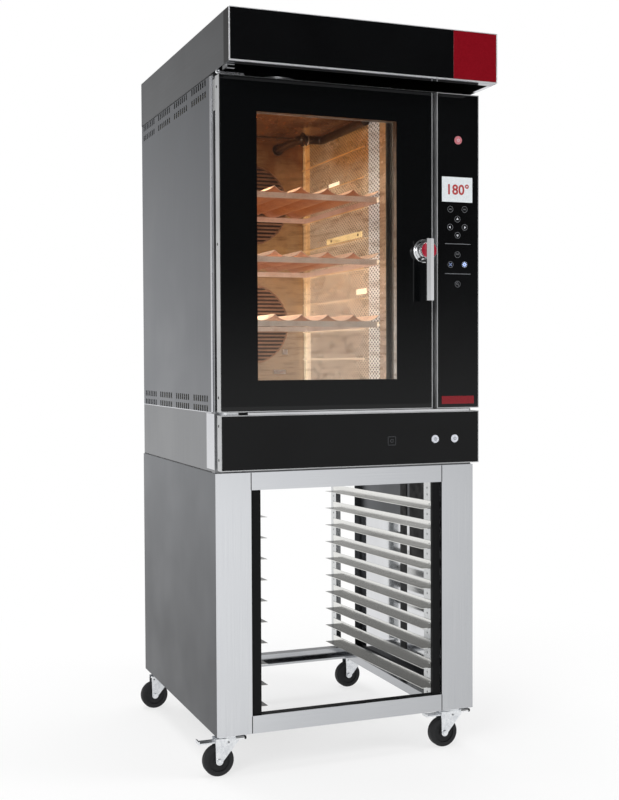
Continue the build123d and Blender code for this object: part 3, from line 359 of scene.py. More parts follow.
doorWindow = {"left": -328.5, "right": 149.5, "bottom": 1257, "top": 2089}
lowCorner = place(doorWindow["left"], 0, doorWindow["bottom"])
highCorner = place(doorWindow["right"], 0, doorWindow["top"])
doorGlass = paneGlass("borderPrintedDoorGlass",
                      (("X", lowCorner.x, highCorner.x), ("Z", lowCorner.z, highCorner.z)))
innerGlass = paneGlass("clearTemperedGlass")
print("materials made")

# Each CAD piece that stays gets its finish

finishes = {
    "castor_plates": zincSteel, "stand_skins": satinSkin, "stand_posts": brushedStainless,
    "stand_rails": brushedAcross, "stand_edge_strips": blackPlastic, "rack_uprights": plainStainless,
    "rack_runners_right": drawnRunner, "rack_runners_left": drawnRunner, "service_shell": serviceSheet,
    "service_panel": doorTrim, "service_glass": serviceBlack, "service_button_left": palePlastic,
    "service_button_right": palePlastic, "power_button": powerPlastic, "control_panel": doorTrim,
    "control_glass": blackGlass, "oven_side_right": satinSide, "oven_side_left": satinSide,
    "oven_back": galvanised, "oven_front_frame": frameSteel, "cavity_liner": bronzedLiner,
    "insulation": mineralWool, "fan_baffle": bronzedBaffle, "fan_wheel_lower": brushedStainless,
    "fan_wheel_upper": brushedStainless, "fan_motors": motorCasting, "heater_rings": heaterTube,
    "cavity_racks": punchedRack, "baguette_tray_lower": trayAluminium, "baguette_tray_middle": trayAluminium,
    "baguette_tray_upper": trayAluminium, "steam_pipe": darkPipe, "door_gasket": silicone,
    "door_frame": doorTrim, "door_outer_glass": doorGlass, "door_inner_glass": innerGlass,
    "hinge_brackets": zincSteel, "door_hinge_pins": zincSteel, "handle_rose": chromePlate,
    "handle_hub": satinAluminium, "handle_disc": redDisc, "handle_bar": satinAluminium,
    "latch_tongue": zincSteel, "latch_keeper": zincSteel, "hood_shell": satinHood,
    "hood_fascia": blackGlass, "hood_red_panel": redEnamel, "hood_filter": blackPaint,
    "cable_gland": blackPlastic, "water_fittings": brassFitting,
}
# Where each castor's pin stands, in x and y
castors = {"front_left": (-400, 47), "front_right": (400, 47),
           "rear_left": (-400, 873), "rear_right": (400, 873)}
for corner in castors:
    finishes["castor_fork_" + corner] = zincSteel
    finishes["castor_wheel_" + corner] = tyreRubber
    if corner.startswith("front"):
        finishes["brake_pedal_" + corner] = zincSteel
for name, material in finishes.items():
    nodes[name].data.materials.clear()
    nodes[name].data.materials.append(material)
print("finishes set on", len(finishes), "pieces, without one:", sorted(set(nodes) - set(finishes)))


# Making pieces, all in the oven's millimetres

def addBlock(mesh, x0, x1, y0, y1, z0, z1):
    made = bmesh.ops.create_cube(mesh, size=1)["verts"]
    low, high = place(x0, y0, z0), place(x1, y1, z1)
    bmesh.ops.scale(mesh, vec=high - low, verts=made)
    bmesh.ops.translate(mesh, vec=(low + high) / 2, verts=made)


def bothSides(near, far, *rest):
    # The same block on the left and on the right of the stand's middle
    return [(*sorted((side * near, side * far)), *rest) for side in (-1, 1)]


def addTurned(mesh, profile, centre, axis, steps=32, closed=False):
    # A turned shape: profile is (place along the axis, radius) in millimetres
    middle = place(*centre)
    along = {"x": Vector((1, 0, 0)), "y": Vector((0, 1, 0)), "z": Vector((0, 0, 1))}[axis]
    side = {"x": Vector((0, 1, 0)), "y": Vector((0, 0, 1)), "z": Vector((1, 0, 0))}[axis]
    other = along.cross(side)
    rings = []
    for reach, radius in profile:
        ring = []
        for i in range(steps):
            turn = 2 * math.pi * i / steps
            spoke = side * math.cos(turn) + other * math.sin(turn)
            ring.append(mesh.verts.new(middle + along * reach / 1000 + spoke * radius / 1000))
        rings.append(ring)
    pairs = list(zip(rings, rings[1:])) + ([(rings[-1], rings[0])] if closed else [])
    for first, second in pairs:
        for i in range(steps):
            j = (i + 1) % steps
            mesh.faces.new((first[i], first[j], second[j], second[i]))
    if not closed:
        mesh.faces.new(rings[0][::-1])
        mesh.faces.new(rings[-1])


def addScrews(mesh, spots, axis, size, sign=1):
    # Low pan heads
    radius, high = size["radius"], size["high"]
    profile = [(0, radius), (high * 0.55, radius), (high * 0.85, radius * 0.82), (high, radius * 0.5)]
    for spot in spots:
        addTurned(mesh, [(sign * reach, r) for reach, r in profile], spot, axis, 20)


def addPlate(mesh, outline, y0, y1):
    # A flat plate that faces the front: outline is (x, z) in millimetres
    front = [mesh.verts.new(place(x, y0, z)) for x, z in outline]
    back = [mesh.verts.new(place(x, y1, z)) for x, z in outline]
    mesh.faces.new(front)
    mesh.faces.new(back[::-1])
    for i in range(len(outline)):
        j = (i + 1) % len(outline)
        mesh.faces.new((front[j], front[i], back[i], back[j]))


def finishPiece(name, mesh, material, body, soften=0.0, steps=2):
    bmesh.ops.recalc_face_normals(mesh, faces=mesh.faces)
    data = bpy.data.meshes.new(name)
    mesh.to_mesh(data)
    mesh.free()
    data.materials.append(material)
    for face in data.polygons:
        face.use_smooth = True
    data.set_sharp_from_angle(angle=math.radians(35))
    piece = bpy.data.objects.new(name, data)
    bpy.context.scene.collection.objects.link(piece)
    if soften:
        bevel = piece.modifiers.new("softEdges", "BEVEL")
        bevel.width = soften / 1000
        bevel.segments = steps
        bevel.limit_method = "ANGLE"
        bevel.angle_limit = math.radians(40)
        bevel.harden_normals = True
    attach(piece, body)
    return piece


def blockPiece(name, blocks, material, body, soften=0.0, steps=2):
    mesh = bmesh.new()
    for block in blocks:
        addBlock(mesh, *block)
    return finishPiece(name, mesh, material, body, soften, steps)


def turnedPiece(name, profile, centres, axis, steps, material, body, closed=False):
    mesh = bmesh.new()
    for centre in centres:
        addTurned(mesh, profile, centre, axis, steps, closed)
    return finishPiece(name, mesh, material, body)


# The hood's glass, red square and silver trims

hood = {"half": 453, "front": -164, "back": -158, "bottom": 2209, "top": 2368, "split": 295,
        "edge": 3, "lowEdge": 4, "topEdge": 2, "recess": 0.8}
left, right = -hood["half"], hood["half"]
inLeft, inRight = left + hood["edge"], right - hood["edge"]
low, high = hood["bottom"] + hood["lowEdge"], hood["top"] - hood["topEdge"]
glassY = (hood["front"] + hood["recess"], hood["back"])
trimY = (hood["front"], hood["back"])
fasciaGlass = blockPiece("hoodFasciaGlass", [(inLeft, hood["split"], *glassY, low, high)], blackGlass, "oven",
                         0.6)
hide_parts("hood_fascia")
redSquare = blockPiece("hoodRedSquare", [(hood["split"], inRight, *glassY, low, high)], redEnamel, "oven",
                       0.8)
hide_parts("hood_red_panel")
blockPiece("hoodEdgeTrim", [
    (left, inLeft, *trimY, hood["bottom"], hood["top"]), (inRight, right, *trimY, hood["bottom"], hood["top"]),
    (inLeft, inRight, *trimY, hood["bottom"], low), (inLeft, inRight, *trimY, high, hood["top"])],
    hoodTrimSteel, "oven", 0.4)
sideStrip = {"thick": 0.8, "y0": -157, "y1": -111, "inset": 1}
blockPiece("hoodSideStrips", bothSides(right, right + sideStrip["thick"], sideStrip["y0"], sideStrip["y1"],
                                       hood["bottom"] + sideStrip["inset"], hood["top"] - sideStrip["inset"]),
           hoodStrip, "oven", 0.3)
# The lip behind the fascia's lower edge, bright underneath
hoodLip = {"y0": -157.6, "y1": -128, "inset": 4, "thick": 0.8}
blockPiece("hoodLipSheet", [(left + hoodLip["inset"], right - hoodLip["inset"], hoodLip["y0"], hoodLip["y1"],
                             hood["bottom"] - hoodLip["thick"], hood["bottom"])],
           lipSteel, "oven", 0.2)
# A rolled bead on the duct
duct = {"x": 0, "y": 700, "radius": 75, "top": 2428, "bead": 3, "seat": 0.5}
turns = [t * math.pi / 6 for t in range(12)]
bead = [(duct["bead"] * math.cos(t), duct["radius"] + duct["seat"] + duct["bead"] * math.sin(t)) for t in turns]
turnedPiece("ductBead", bead, [(duct["x"], duct["y"], duct["top"] - duct["bead"])], "z", 48, brushedAcross,
            "oven", closed=True)
hoodScrew = {"radius": 5, "high": 2.4, "inset": 22, "rows": (-60, 240, 540, 840)}
mesh = bmesh.new()
addScrews(mesh, [(x, y, hood["top"]) for x in (left + hoodScrew["inset"], right - hoodScrew["inset"])
                 for y in hoodScrew["rows"]], "z", hoodScrew)
finishPiece("hoodTopScrews", mesh, zincSteel, "oven")

# Shadow gaps and folded edges on both sides. x is how far out from the middle.
sideLines = {
    "hoodShadowGap": {"x": (452, 452.5), "y": (13, 933), "z": (2205.4, 2208.4), "gap": True},
    "ovenSideFold": {"x": (452, 452.5), "y": (43.5, 933), "z": (1154.4, 1157)},
    "ovenFrontFold": {"x": (450.2, 452.7), "y": (28, 43), "z": (1157, 2204)},
    "serviceFrontFold": {"x": (452, 452.8), "y": (13.3, 98), "z": (977, 1153), "soften": 0.2},
    "serviceShadowGap": {"x": (452, 452.4), "y": (44, 933), "z": (967.2, 969.4), "gap": True},
}
for name, line in sideLines.items():
    material, slot = (blackPaint, "dark_stainless") if line.get("gap") else (paleFold, "stainless_sheet")
    blockPiece(name, bothSides(*line["x"], *line["y"], *line["z"]), material, "oven",
               line.get("soften", 0.0))
# Flange under the hood's right end
hoodFlange = {"x": (437, 452.6), "y": (-127, -30), "z": (2207.6, 2208.9)}
blockPiece("hoodRightFold", [(*hoodFlange["x"], *hoodFlange["y"], *hoodFlange["z"])], paleFold, "oven",
           0.3)
print("hood and sides dressed")

# The top hinge's arm runs to a point along the door; its eye takes the stay
hingeArm = {"left": -450, "right": -366, "y0": -47.6, "y1": -44.2, "low": 2195.2, "high": 2204, "tip": 1.6}
mesh = bmesh.new()
addPlate(mesh, [(hingeArm["left"], hingeArm["low"]), (hingeArm["right"], hingeArm["low"]),
                (hingeArm["right"], hingeArm["low"] + hingeArm["tip"]), (hingeArm["left"], hingeArm["high"])],
         hingeArm["y0"], hingeArm["y1"])
finishPiece("topHingeArm", mesh, paleFold, "oven", 0.3)
eye = {"at": (-452, -49, 2202), "profile": [(0, 3.4), (0, 5.8), (1, 6.8), (9, 6.8), (9, 2.8), (1, 2.8)]}
turnedPiece("topHingeEye", eye["profile"], [eye["at"]], "y", 28, zincSteel, "oven", closed=True)
stay = {"profile": [(0, 2.2), (0.8, 3), (31, 3), (32, 2.2)],
        "at": [(-449.5, -104, 2211.8), (-449.5, -104, 2200.6)]}
turnedPiece("hingeStayRods", stay["profile"], stay["at"], "x", 16, frameSteel, "oven")
# Lower hinge with its buffer, the bright strip that closes the gap between the door and the
# service unit, the stays' foot, and a stiffener that shows in the gap beside the door
hingeBlocks = {
    "lowHingeFace": ((-450, -392, -47.6, -44.2, 1149.4, 1151.8), paleFold, "zinc_steel", 0.2),
    "lowHingeBuffer": ((-392, -364.5, -47.2, -44.2, 1149.6, 1157.4), blackPlastic, "black_strip", 0.6),
    "doorSillTrim": ((-362, 415, -47, -12, 1149.2, 1157.4), brightTrim, "stainless_sheet", 0.8),
    "hingeStayFoot": ((-450.5, -446, -124, -88, 2196.5, 2216), frameSteel, "zinc_steel", 0.5),
    "gapStiffener": ((-449.2, -441, -9, 12.7, 2092, 2188), plainStainless, "stainless_sheet", 0.5),
}
for name, (block, material, slot, soften) in hingeBlocks.items():
    blockPiece(name, [block], material, "oven", soften)
edgeScrew = {"radius": 4.2, "high": 1.2, "x": 450, "y": -24,
             "door": (2159, 1677, 1204), "service": (1116, 1010)}
mesh = bmesh.new()
addScrews(mesh, [(-edgeScrew["x"], edgeScrew["y"], z) for z in edgeScrew["door"]], "x", edgeScrew, -1)
finishPiece("doorEdgeScrews", mesh, hoodStrip, "door")
mesh = bmesh.new()
for side in (-1, 1):
    spots = [(side * edgeScrew["x"], edgeScrew["y"], z) for z in edgeScrew["service"]]
    addScrews(mesh, spots, "x", edgeScrew, side)
finishPiece("serviceEdgeScrews", mesh, hoodStrip, "oven")
print("hinges dressed")

# Ink on the black glasses stands a hair proud of their faces

panel = {"y": -48, "ink": 0.15, "sunk": 0.05}
inkY = (panel["y"] - panel["ink"], panel["y"] + panel["sunk"])


def addArc(mesh, x, z, inner, outer, y0, y1, start=0, end=360, steps=28):
    # A flat ring, or part of one, that faces the front
    whole = end - start >= 360
    spots = []
    for i in range(steps if whole else steps + 1):
        turn = math.radians(start + (end - start) * i / steps)
        spots.append((math.cos(turn), math.sin(turn)))
    loops = [[mesh.verts.new(place(x + c * r, y, z + s * r)) for c, s in spots]
             for r, y in ((inner, y0), (outer, y0), (outer, y1), (inner, y1))]
    count = len(spots)
    for k in range(4):
        first, second = loops[k], loops[(k + 1) % 4]
        for i in range(count if whole else count - 1):
            j = (i + 1) % count
            mesh.faces.new((first[i], first[j], second[j], second[i]))
    if not whole:
        mesh.faces.new([loop[0] for loop in loops])
        mesh.faces.new([loop[-1] for loop in loops][::-1])


def addBar(mesh, x0, z0, x1, z1, width):
    # A straight stroke of ink
    along = Vector((x1 - x0, z1 - z0)).normalized() * width / 2
    side = Vector((-along.y, along.x))
    start, end = Vector((x0, z0)) - along, Vector((x1, z1)) + along
    addPlate(mesh, [tuple(start - side), tuple(end - side), tuple(end + side), tuple(start + side)], *inkY)


def addRays(mesh, mark):
    # Strokes that stand out from the middle of a mark
    x, z = mark["at"]
    for i in range(mark["count"]):
        turn = math.radians(mark["start"] + 360 * i / mark["count"])
        c, s = math.cos(turn), math.sin(turn)
        addBar(mesh, x + mark["inner"] * c, z + mark["inner"] * s,
               x + mark["outer"] * c, z + mark["outer"] * s, mark["width"])


keys = {
    "ring": 10.5, "line": 1.3, "arrow": 5.2, "stroke": 1.5, "rule": 2.2,
    "rings": [(344, 1815), (397, 1816), (370.4, 1783), (343.3, 1756), (397.3, 1757), (370.7, 1730),
              (370.7, 1666), (344.7, 1633), (396.9, 1634), (371, 1569)],
    "arrows": [(370.4, 1783.5, 90), (342.6, 1756, 180), (398, 1757, 0), (370.7, 1729.5, 270)],
    "eyelets": [(341.4, 1815), (346.6, 1815), (394.4, 1816), (399.6, 1816)],
    "strokes": [(365.5, 1666, 376, 1666), (366.5, 1669.5, 369, 1669.5), (372.5, 1669.5, 375, 1669.5),
                (373, 1567, 376, 1564)],  # a lid's lines, and a magnifier's handle
    "rules": [(325, 1701.5, 418, 1701.5), (325, 1603, 418, 1603)],
}
mesh = bmesh.new()
for x, z in keys["rings"]:
    addArc(mesh, x, z, keys["ring"] - keys["line"], keys["ring"], *inkY)
finishPiece("keyRings", mesh, dimInk, "oven")
mesh = bmesh.new()
for x, z, turn in keys["arrows"]:
    corners = [math.radians(turn + t) for t in (0, 120, 240)]
    addPlate(mesh, [(x + keys["arrow"] * math.cos(t), z + keys["arrow"] * math.sin(t)) for t in corners], *inkY)
finishPiece("arrowKeys", mesh, whiteInk, "oven")
mesh = bmesh.new()
for x, z in keys["eyelets"]:
    addArc(mesh, x, z, 1.2, 2.4, *inkY, steps=16)
addArc(mesh, 369.8, 1570.3, 2.6, 4.2, *inkY, steps=18)  # the magnifier's ring
for bars, width in ((keys["strokes"], keys["stroke"]), (keys["rules"], keys["rule"])):
    for bar in bars:
        addBar(mesh, *bar, width)
finishPiece("panelInk", mesh, dimInk, "oven")
# The two lit keys: a fan, and a sun-like gear
fanMark = {"at": (344.7, 1633), "inner": 1.5, "outer": 5.6, "width": 2.6, "count": 4, "start": 45}
gearMark = {"at": (396.9, 1634), "inner": 5.4, "outer": 7.8, "width": 2.2, "count": 8, "start": 0,
            "ring": (2.2, 5.2)}
mesh = bmesh.new()
addRays(mesh, fanMark)
finishPiece("fanKey", mesh, dimLitInk, "oven")
mesh = bmesh.new()
addArc(mesh, *gearMark["at"], *gearMark["ring"], *inkY)
addRays(mesh, gearMark)
finishPiece("lampKey", mesh, litInk, "oven")
filmY = (-48.4, -47.95)
films = {
    "displayFilm": ((313, 426, *filmY, 1839, 1921), screenWhite, "clear_glass"),
    "redStrip": ((312, 432, *filmY, 1173, 1199), redEnamel, "red_enamel"),
}
for name, (block, material, slot) in films.items():
    blockPiece(name, [block], material, "oven", 0.15)
# A temperature in red digits on the display, as a thin mesh that faces the front
digits = {"words": "180°", "at": (371, -48.5, 1878), "height": 46, "deep": 0.1, "heavy": 1.1, "smooth": 3}
curve = bpy.data.curves.new("displayDigits", "FONT")
curve.body = digits["words"]
curve.size = digits["height"] / 1000
curve.align_x = "CENTER"
curve.align_y = "CENTER"
curve.resolution_u = digits["smooth"]
curve.extrude = digits["deep"] / 1000
curve.offset = digits["heavy"] / 1000
carrier = bpy.data.objects.new("displayDigitsCurve", curve)
bpy.context.scene.collection.objects.link(carrier)
mesh = bmesh.new()
mesh.from_mesh(carrier.evaluated_get(bpy.context.evaluated_depsgraph_get()).to_mesh())
bpy.data.objects.remove(carrier)
bmesh.ops.rotate(mesh, matrix=Matrix.Rotation(math.pi / 2, 3, "X"), verts=mesh.verts)
bmesh.ops.translate(mesh, vec=place(*digits["at"]), verts=mesh.verts)
finishPiece("displayDigits", mesh, screenRed, "oven")

# Marks on the push buttons: a broken ring or a whole one, with an upright line
buttonFace = (-51.2, -50.9)
powerSign = {"at": (372.5, 2042), "ring": (3.4, 4.8), "turn": (120, 420), "line": (371.8, 373.2),
             "rise": (2042, 2047.4)}
mesh = bmesh.new()
addArc(mesh, *powerSign["at"], *powerSign["ring"], *buttonFace, *powerSign["turn"])
addBlock(mesh, *powerSign["line"], *buttonFace, *powerSign["rise"])
finishPiece("powerMark", mesh, palePlastic, "on_off_button")
serviceSign = {"x": {"left": 287, "right": 359}, "z": 1058, "ring": (4.2, 5.6), "half": 0.8,
               "rise": (1055, 1061)}
for word, x in serviceSign["x"].items():
    mesh = bmesh.new()
    addArc(mesh, x, serviceSign["z"], *serviceSign["ring"], *buttonFace)
    addBlock(mesh, x - serviceSign["half"], x + serviceSign["half"], *buttonFace, *serviceSign["rise"])
    finishPiece(word + "ButtonMark", mesh, dimInk, word + "_service_button")
# An outline square on the lower glass, with an open ring and a line in it
square = {"x": 130, "z": 1056, "half": 13.5, "line": 1.4, "ring": (3.5, 5), "turn": (40, 320), "bar": 5,
          "thin": 1.2}
left, right = square["x"] - square["half"], square["x"] + square["half"]
low, high = square["z"] - square["half"], square["z"] + square["half"]
mesh = bmesh.new()
for bar in ((left, low, right, low), (left, high, right, high),
            (left, low, left, high), (right, low, right, high)):
    addBar(mesh, *bar, square["line"])
addArc(mesh, square["x"] - 1, square["z"], *square["ring"], *inkY, *square["turn"])
barX = square["x"] + square["bar"]
addBar(mesh, barX, square["z"] - square["bar"], barX, square["z"] + square["bar"], square["thin"])
finishPiece("squareMark", mesh, faintInk, "oven")
# Dark ring round the foot of the handle's rose
roseRing = {"at": (244.7, -50.7, 1674), "profile": [(0, 29), (0, 31.9), (0.5, 31.9), (0.5, 29)]}
turnedPiece("roseShadowRing", roseRing["profile"], [roseRing["at"]], "y", 48, blackPlastic, "door",
            closed=True)
print("panels dressed")

# Where the posts meet the rails, and a pad on the low rail
seams = {"x": 337, "half": 1.5, "y": (-0.15, 0.3), "z": ((136, 190.6), (910.4, 965))}
blockPiece("postSeams", [block for rise in seams["z"] for block in bothSides(
    seams["x"] - seams["half"], seams["x"] + seams["half"], *seams["y"], *rise)],
    blackPaint, "oven")
railPad = (-330, 330, 9, 34, 191.05, 192.2)
blockPiece("lowRailPad", [railPad], blackPlastic, "oven", 0.2)
# Inside each skin: its bright inner face low down, and a black patch with a narrow black strip beside it
skinInside = {"face": (451.8, 452.42, 40, 930, 150, 700),
              "darkPatches": ((450.4, 452.4, 215, 480, 560, 955), (450.4, 452.4, 505, 560, 200, 955))}
for i, word in enumerate(("left", "right")):
    blockPiece(word + "InnerFace", [bothSides(*skinInside["face"])[i]], innerSkin, "oven")
    blockPiece(word + "DarkPatch", [bothSides(*patch)[i] for patch in skinInside["darkPatches"]], blackPaint, "oven",
               0.8)
# Joint bolts of the front castors: a chrome barrel with a black end
barrel = {"y": -1.6, "z": 127.7, "from": 6, "capFrom": 34.9,
          "profile": [(0, 4.6), (0.8, 5.5), (7, 5.5), (7.6, 4.2), (9, 4.2), (9.6, 5.5), (28, 5.5), (28.8, 4.8)],
          "cap": [(0, 4.4), (0.6, 5.6), (5, 5.6), (6, 4.4)]}
for name, profile, start, material, slot in (
        ("castorBarrels", "profile", "from", chromePlate, "zinc_steel"),
        ("castorBarrelCaps", "cap", "capFrom", blackPlastic, "black_strip")):
    spots = [(castors[pin][0] + barrel[start], barrel["y"], barrel["z"])
             for pin in ("front_left", "front_right")]
    turnedPiece(name, barrel[profile], spots, "x", 24, material, "oven")
# A rivet on each cheek of the forks
rivet = {"back": 8, "out": 21.6, "z": 109, "radius": 3.2, "dome": 1.8, "reach": (1.4, 2.4)}
for name, (x, y) in castors.items():
    mesh = bmesh.new()
    for side in (-1, 1):
        profile = [(0, rivet["radius"]), (side * rivet["reach"][0], rivet["radius"]),
                   (side * rivet["reach"][1], rivet["dome"])]
        addTurned(mesh, profile, (x - rivet["back"], y + side * rivet["out"], rivet["z"]), "y", 16)
    finishPiece("forkRivets_" + name, mesh, frameSteel, "castor_" + name)
print("stand dressed")

# Racks with their ledges, off the walls of the cavity

cavity = {"left": -337.7, "right": 137.7, "plate": 1.2, "y0": 58, "y1": 735, "z0": 1225, "z1": 2135,
          "ledge": 15, "ledgeT": 1.5, "ledgeY": 155, "first": 1325.5, "pitch": 102.5, "count": 8, "lip": 4.5}
ledges = [cavity["first"] + i * cavity["pitch"] for i in range(cavity["count"])]


def fromWalls(near, far, *rest):
    # The same block inside the left and the right wall, from near to far off it
    return [(*sorted((wall - side * near, wall - side * far)), *rest)
            for side, wall in ((-1, cavity["left"]), (1, cavity["right"]))]


rack, edges = fromWalls(0, cavity["plate"], cavity["y0"], cavity["y1"], cavity["z0"], cavity["z1"]), []
for z in ledges:
    reachY = (cavity["ledgeY"], cavity["y1"])
    rack += fromWalls(cavity["plate"], cavity["ledge"], *reachY, z - cavity["ledgeT"], z)
    edges += fromWalls(cavity["ledge"], cavity["ledge"] + 1, *reachY, z - cavity["lip"], z)
racks = blockPiece("cavitySideRacks", rack, punchedRack, "oven", 0.3)
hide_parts("cavity_racks")
# Edges of the ledges, punched strips and folds of the racks, the mouth's rims and the
# posts in the rear corners: block off the walls, finish, softened edge
wallBlocks = {
    "cavityLedgeEdges": (edges, goldEdge, 0.3),
    "cavityFrontStrips": (fromWalls(1.4, 2.2, 62, 148, cavity["z0"] + 2, cavity["z1"] - 2), palePunched, 0.2),
    "cavityFolds": (fromWalls(1.4, 2.6, 694, cavity["y1"], cavity["z0"], cavity["z1"]), goldEdge, 0.3),
    "cavityMouthRims": (fromWalls(0, 2.2, 13.6, 57.5, 1214, 2146), mouthRim, 0.3),
    "cavityCornerPosts": (fromWalls(0.5, 9, 736, 744, 1214, 2146), brightCorner, 1.0),
}
for name, (blocks, material, soften) in wallBlocks.items():
    blockPiece(name, blocks, material, "oven", soften)
# Flat bracket with two round holes on the right rack
bracket = {"block": (134.4, 136.2, 205, 522, 1741, 1761), "hole": [(0, 5.2), (0.5, 5.2)],
           "holes": [(133.9, 478, 1751), (133.9, 236, 1751)]}
blockPiece("rackBracket", [bracket["block"]], bracketSteel, "oven", 0.6)
turnedPiece("rackBracketHoles", bracket["hole"], bracket["holes"], "x", 24, darkPipe, "oven")
# Guards before the fans: level bars on a ring, with a dark disc behind as painted shade for the housing
guard = {"x": -85, "z": {"lower": 1456, "upper": 1905}, "radius": 150, "ring": 4, "pitch": 14, "bar": 6.5,
         "y": 741, "thick": 3, "deep": 6.5, "shade": [(0, 145), (0.8, 145)], "shadeY": 748.6}
inner, outer = guard["radius"] - guard["ring"], guard["radius"]
rows = int(guard["radius"] / guard["pitch"])
for word, middle in guard["z"].items():
    mesh = bmesh.new()
    for rise in [row * guard["pitch"] for row in range(-rows, rows + 1)]:
        reach = math.sqrt(guard["radius"] ** 2 - rise ** 2) - 2
        addBlock(mesh, guard["x"] - reach, guard["x"] + reach, guard["y"], guard["y"] + guard["thick"],
                 middle + rise - guard["bar"] / 2, middle + rise + guard["bar"] / 2)
    addTurned(mesh, [(0, inner), (0, outer), (guard["deep"], outer), (guard["deep"], inner)],
              (guard["x"], guard["y"], middle), "y", 48, closed=True)
    finishPiece(word + "FanGuard", mesh, fanBar, "oven", 0.4)
    turnedPiece(word + "FanShade", guard["shade"], [(guard["x"], guard["shadeY"], middle)], "y", 48, fanDark,
                "oven")
# Bright collar and dark flange on the pipe
pipe = {"collarAt": (52, 509.7, 2118), "collar": [(0, 15.5), (0, 20), (1, 21), (3, 21), (4, 20), (4, 15.5)],
        "flangeAt": (34, 509.7, 2118), "flange": [(0, 5), (0, 25), (6, 25), (6, 5)]}
turnedPiece("pipeCollar", pipe["collar"], [pipe["collarAt"]], "x", 32, brightTrim, "oven", True)
turnedPiece("pipeFlange", pipe["flange"], [pipe["flangeAt"]], "x", 32, darkPipe, "oven", True)
# Small pale blocks low on the back wall, and oblong glowing patches in the right wall as painted reflections of
# the cavity lamps
paleBlocks = [(42, 60, 738, 746, 1342, 1361), (6, 52, 738, 746, 1268, 1284)]
blockPiece("rearPaleBlocks", paleBlocks, palePlastic, "oven", 1.0)
reflectionPatches = [(134.2, 136.4, 168, 252, 1545, 1564), (134.2, 136.4, 405, 500, 1944, 1958)]
blockPiece("lampReflectionPatches", reflectionPatches, lampReflectionGlow, "oven", 2.0, 3)
# Wrapped wire corners at the front of each tray, bright as painted highlights
trayCorner = {"off": (8.8, 16.8), "y": (48.4, 57), "over": 0.6, "high": 17}
for word, ledge in (("lower", ledges[1]), ("middle", ledges[3]), ("upper", ledges[5])):
    rise = (ledge + trayCorner["over"], ledge + trayCorner["over"] + trayCorner["high"])
    blockPiece(word + "TrayCorners", fromWalls(*trayCorner["off"], *trayCorner["y"], *rise), trayCornerSteel,
               word + "_tray", 2.0, 3)
print("cavity dressed")

# Black seal over the door frame's lip, at the left and the top of the pane
seal = {"left": -449.4, "right": 277, "wide": 2.6, "deep": 2.8, "y": (-48.5, -48.02), "low": 1164,
        "high": 2193.6}
inLeft = seal["left"] + seal["wide"]
blockPiece("doorLipSeal", [
    (seal["left"], inLeft, *seal["y"], seal["low"], seal["high"]),
    (inLeft, seal["right"], *seal["y"], seal["high"] - seal["deep"], seal["high"])],
    blackPaint, "door")
# Spacer bars between the two panes of the door
spacer = {"y": (-42.8, -17.3), "in": 1.5, "out": 7}
left, right = doorWindow["left"] - spacer["in"], doorWindow["right"] + spacer["in"]
low, high = doorWindow["bottom"] - spacer["in"], doorWindow["top"] + spacer["in"]
outLeft, outRight = left - spacer["out"], right + spacer["out"]
blockPiece("paneSpacer", [
    (outLeft, left, *spacer["y"], low, high), (right, outRight, *spacer["y"], low, high),
    (outLeft, outRight, *spacer["y"], low - spacer["out"], low),
    (outLeft, outRight, *spacer["y"], high, high + spacer["out"])], spacerSteel, "door", 0.4)
print("door dressed")

# Screws round the back panel

backScrew = {"radius": 4.5, "high": 2.2, "y": 934.5, "sides": (-436, 436), "between": (-218, 0, 218),
             "rows": (990, 1230, 1475, 1720, 1965, 2190)}
spots = [(x, z) for x in backScrew["sides"] for z in backScrew["rows"]]
spots += [(x, z) for x in backScrew["between"] for z in (backScrew["rows"][0], backScrew["rows"][-1])]
mesh = bmesh.new()
addScrews(mesh, [(x, backScrew["y"], z) for x, z in spots], "y", backScrew)
finishPiece("backScrews", mesh, zincSteel, "oven")
print("back dressed")

# Near the oven the floor keeps its soft shadow, and farther out it turns plain white
studio = {"floorSize": 60, "floorColour": "#f4f4f4", "shadowShare": 0.3, "shadowReach": (0.9, 2.4)}
mesh = bmesh.new()
bmesh.ops.create_grid(mesh, x_segments=1, y_segments=1, size=studio["floorSize"] / 2)
floorData = bpy.data.meshes.new("paleFloor")
mesh.to_mesh(floorData)
mesh.free()
floor = bpy.data.objects.new("paleFloor", floorData)
bpy.context.scene.collection.objects.link(floor)
floorPaint, tree = startMaterial("paleFloorPaint")
shader = addNode(tree, "BsdfPrincipled", {"Roughness": 0.9, "Base Color": linear(studio["floorColour"])})
seen = addNode(tree, "LightPath", out="Is Camera Ray")
for ray in ("Is Glossy Ray", "Is Transmission Ray"):
    seen = addNode(tree, "Math", {"operation": "MAXIMUM"}, {0: seen, 1: addNode(tree, "LightPath", out=ray)})
point = addNode(tree, "TexCoord", out="Object")
away = addNode(tree, "VectorMath", {"operation": "LENGTH"}, {0: point}, "Value")
plainness = addNode(tree, "MapRange", {**smoothly, 1: studio["shadowReach"][0], 2: studio["shadowReach"][1],
                                       3: 1 - studio["shadowShare"]}, {0: away})
share = addNode(tree, "Math", {"operation": "MULTIPLY"}, {0: seen, 1: plainness})
glow = addNode(tree, "Emission", {"Color": (1, 1, 1, 1), "Strength": 1.0})
mixed = addNode(tree, "MixShader", links={0: share, 1: shader, 2: glow})
addNode(tree, "OutputMaterial", links={"Surface": mixed})
floorData.materials.append(floorPaint)

